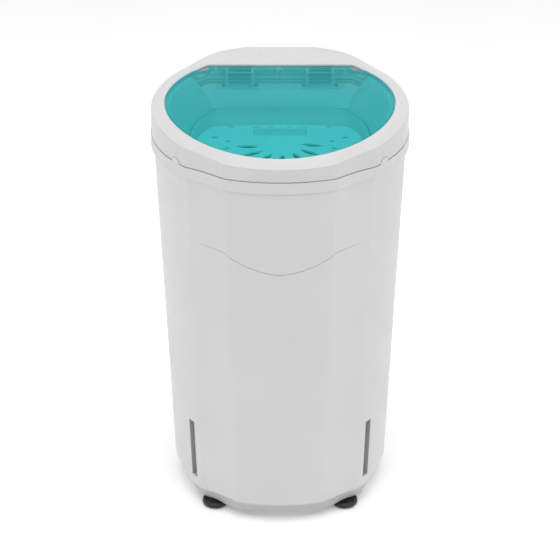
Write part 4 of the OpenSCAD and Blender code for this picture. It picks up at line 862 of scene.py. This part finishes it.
def rolled_edge():
    """The lid's rear edge, rolled down behind the hinge axis."""
    bm = bmesh.new()
    n = 18

    def stretch(xa, xb, first, last):
        """One length of the roll between two angles from upright."""
        arc = [(ROLL_R, mix(first - 4, last, i / n)) for i in range(n + 1)]
        arc += [(ROLL_R - ROLL_T, mix(last, first, i / n)) for i in range(n + 1)]
        curves = []
        for x, k in ((xa, 0.6), (xa + 0.6, 0.0), (xb - 0.6, 0.0), (xb, 0.6)):
            curves.append([(x, HINGE_Y + (r - k * (1 if r == ROLL_R else -0.6)) * sind(t),
                            HINGE_Z + (r - k * (1 if r == ROLL_R else -0.6)) * cosd(t)) for r, t in arc])
        add_caps(bm, add_loft(bm, curves, loop=False))

    edges = [NOTCH_HALF, *EARS[0], *EARS[1], ROLL_HALF]
    for s in (-1, 1):
        for k, (a, b) in enumerate(zip(edges, edges[1:])):
            xa, xb = sorted((s * a, s * b))
            stretch(xa, xb, 1, 34 if k % 2 else 132)
    return smooth_all(new_object("lid_rolled_edge", bm), 40)


def knuckles():
    """The two long knuckles under the roll, with their pin bores."""
    bm = bmesh.new()
    for s in (-1, 1):
        xs = [(50.3, 0.0), (51.1, 0.8), (90.5, 0.8), (91.3, 0.0)]
        rings = [(x, KNUCKLE_R - 0.8 + k) for x, k in xs] + [(x, KNUCKLE_BORE) for x, _ in xs[::-1]]
        add_loft(bm, [[(s * x, HINGE_Y + r * cos(2 * pi * i / 48), HINGE_Z + r * sin(2 * pi * i / 48))
                       for i in range(48)] for x, r in rings])
    return smooth_all(new_object("lid_knuckles", bm), 40)


place(lid(), "lid", "lid_plastic", "lid")
# the lid's plastic made clearer and paler on the roll and knuckles: painted light that lifts the console wall's
# shade and the darkness of the stacked layers there
lid_tint_lightened = see_through("lid_plastic_lightened", "ecfcfc", "00d6da", "04ced2", 0.05)
for piece in (rolled_edge(), knuckles()):
    piece.data.materials.append(lid_tint_lightened)
    place(piece, "lid", "lid_plastic")


# ------------------------------------------------------------------ feet
def foot(name):
    """Rubber bun of one foot, turned from its profile."""
    lo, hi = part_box(name)
    cx, cy = (lo.x + hi.x) * 500, (lo.y + hi.y) * 500 - AXIS_Y
    bm = bmesh.new()
    prof = [(15.5, 0.0), (17.5, 0.0), (19.6, 0.5), (21.8, 1.8), (23.3, 3.8), (24.0, 6.4), (23.7, 8.8),
            (22.4, 10.6), (20.4, 11.7), (18.4, 12.0), (13.0, 12.2), (12.6, 12.6)]
    top = hi.z * 1000
    if top > 13.5:
        prof += [(12.4, min(top, 14.0)), (9.0, min(top, 14.4)), (9.0, top)]
    lathe(bm, prof, cx, cy, 72)
    o = smooth_all(new_object(name + "_bun", bm), 50)
    return place(o, "machine", "black_rubber", name)


for n in ("foot_front_left", "foot_front_right", "foot_rear_left", "foot_rear_right"):
    foot(n)


# ------------------------------------------------------------------ screws
def screw_tree():
    """Pan-head screws with a cross recess, one at each vertex, each turned by chance."""
    t = bpy.data.node_groups.new("screws", "GeometryNodeTree")
    face = t.interface
    face.new_socket("Geometry", in_out="INPUT", socket_type="NodeSocketGeometry")
    for name in ("Head radius", "Head height", "Shank radius", "Shank length", "Tilt"):
        face.new_socket(name, in_out="INPUT", socket_type="NodeSocketFloat")
    face.new_socket("Turn seed", in_out="INPUT", socket_type="NodeSocketInt")
    face.new_socket("Finish", in_out="INPUT", socket_type="NodeSocketMaterial")
    face.new_socket("Geometry", in_out="OUTPUT", socket_type="NodeSocketGeometry")
    given = put(t, "NodeGroupInput").outputs

    radius, height, length = given["Head radius"], given["Head height"], given["Shank length"]
    # the cross is 1.15 head radii long and 0.26 wide, and is cut from just above mid height
    shares = ((radius, 1.15), (radius, 0.26), (height, 0.55), (length, -0.5))
    long, short, lift, drop = [put(t, "ShaderNodeMath", {0: value, 1: share}, operation="MULTIPLY")
                               for value, share in shares]
    up, down = [put(t, "ShaderNodeCombineXYZ", {"Z": z}) for z in (lift, drop)]
    head = put(t, "GeometryNodeMeshCylinder", {"Vertices": 32, "Radius": radius, "Depth": height})
    cut = put(t, "GeometryNodeMeshBoolean", {"Mesh 1": head}, operation="DIFFERENCE")
    for x, y in ((long, short), (short, long)):
        size = put(t, "ShaderNodeCombineXYZ", {"X": x, "Y": y, "Z": height})
        bar = put(t, "GeometryNodeMeshCube", {"Size": size})
        bar = put(t, "GeometryNodeTransform", {"Geometry": bar, "Translation": up})
        t.links.new(bar.outputs[0], cut.inputs["Mesh 2"])
    shank = put(t, "GeometryNodeMeshCylinder", {"Vertices": 24, "Radius": given["Shank radius"], "Depth": length})
    shank = put(t, "GeometryNodeTransform", {"Geometry": shank, "Translation": down})
    whole = put(t, "GeometryNodeJoinGeometry")
    for part in (cut, shank):
        t.links.new(part.outputs[0], whole.inputs[0])
    turn = put(t, "FunctionNodeRandomValue", {2: 0.0, 3: 2 * pi, "Seed": given["Turn seed"]}, data_type="FLOAT")
    angles = put(t, "ShaderNodeCombineXYZ", {"X": given["Tilt"], "Z": turn.outputs[1]})
    each = put(t, "GeometryNodeInstanceOnPoints",
               {"Points": given["Geometry"], "Instance": whole, "Rotation": angles})
    real = put(t, "GeometryNodeRealizeInstances", {"Geometry": each})
    put(t, "NodeGroupOutput", {"Geometry": put(t, "GeometryNodeSetMaterial",
                                               {"Geometry": real, "Material": given["Finish"]})})
    return t


SCREW_TREE = screw_tree()


def screws(name, node, spots, head, shank, tilt=0.0):
    """Screws in place of a CAD node's plain ones; head and shank are (radius, length) in mm."""
    bm = bmesh.new()
    for spot in spots:
        bm.verts.new(P(*spot))
    o = new_object(name, bm)
    mod = o.modifiers.new("screws", "NODES")
    mod.node_group = SCREW_TREE
    values = {"Head radius": head[0] * 0.001, "Head height": head[1] * 0.001, "Shank radius": shank[0] * 0.001,
              "Shank length": shank[1] * 0.001, "Tilt": tilt, "Turn seed": 7, "Finish": MATS["zinc_steel"]}
    for item in SCREW_TREE.interface.items_tree:
        if item.in_out == "INPUT" and item.name in values:
            mod[item.identifier] = values[item.name]
    smooth_all(bake(o), 30)
    return place(o, "machine", "zinc_steel", node)


def hinge_screws():
    head = (3.8, 2.2)
    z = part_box("hinge_screws")[1].z * 1000 - head[1] / 2
    spots = [(s * x, HINGE_Y, z) for s in (-1, 1) for x in (42.0, 99.6)]
    screws("hinge_screw_heads", "hinge_screws", spots, head, (2.0, 6.1))


def base_screws():
    """These point up into the cabinet's lugs, so their heads face down."""
    head = (4.4, 2.4)
    lo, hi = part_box("base_screws")
    r, z = hi.x * 1000 - head[0], lo.z * 1000 + head[1] / 2
    spots = [(r, 0, z), (-r, 0, z), (0, r, z), (0, -r, z)]
    screws("base_screw_heads", "base_screws", spots, head, (2.0, 14.2), pi)


hinge_screws()
base_screws()


# ------------------------------------------------------------------ stage and light
def stage():
    """A pale matt floor just under the feet, lit a little from itself so that it stays white."""
    half, z = 12.0, -0.0002
    bm = bmesh.new()
    bm.faces.new([bm.verts.new((x * half, y * half, z)) for x, y in ((-1, -1), (1, -1), (1, 1), (-1, 1))])
    o = new_object("floor", bm)
    m, tree = new_material("floor_pale")
    finish(tree, "fbfbfb", [(patches(tree, object_coords(tree), 333, 2.0, 0.0, 1.0), "fdfdfd")], {
        "Roughness": 0.6, "Specular IOR Level": 0.1, "Emission Color": lin("ffffff"), "Emission Strength": 0.19})
    o.data.materials.append(m)


def world():
    """White where it is seen, mirrored or seen through; dimmer as a light, most so from the front."""
    w = bpy.data.worlds.new("studio")
    bpy.context.scene.world = w
    w.use_nodes = True
    tree = w.node_tree
    tree.nodes.clear()
    ray = put(tree, "ShaderNodeLightPath").outputs
    seen = ray["Is Camera Ray"]
    for kind in ("Is Glossy Ray", "Is Transmission Ray"):
        seen = put(tree, "ShaderNodeMath", {0: seen, 1: ray[kind]}, operation="MAXIMUM")
    side = put(tree, "ShaderNodeSeparateXYZ", {0: put(tree, "ShaderNodeTexCoord").outputs["Generated"]})
    dim = put(tree, "ShaderNodeMapRange", {"Value": side.outputs["Y"], "From Min": -1.0, "From Max": 0.6,
                                           "To Min": 0.40, "To Max": 0.74})
    soft, white = [put(tree, "ShaderNodeBackground", {"Color": lin("ffffff"), "Strength": strength})
                   for strength in (dim, 1.0)]
    put(tree, "ShaderNodeOutputWorld", {"Surface": put(tree, "ShaderNodeMixShader", {0: seen, 1: soft, 2: white})})


def lamp(name, at, to, size, watts, tall=None):
    """Area lamp turned towards a point; tall makes it a rectangle of that height."""
    d = bpy.data.lights.new(name, "AREA")
    d.energy = watts
    d.size = size
    if tall:
        d.shape = "RECTANGLE"
        d.size_y = tall
    o = bpy.data.objects.new(name, d)
    bpy.context.scene.collection.objects.link(o)
    o.location = at
    o.rotation_euler = (Vector(to) - Vector(at)).to_track_quat("-Z", "Y").to_euler()


stage()
world()
lamp("lamp_left", (-2.9, -0.7, 1.3), (0, 0, 0.4), 1.6, 11, 2.0)
lamp("lamp_right", (2.9, -0.7, 1.3), (0, 0, 0.4), 1.6, 11, 2.0)
lamp("lamp_top", (0, -0.9, 3.3), (0, 0, 0.5), 2.6, 53)
bpy.context.scene.view_settings.view_transform = "Standard"
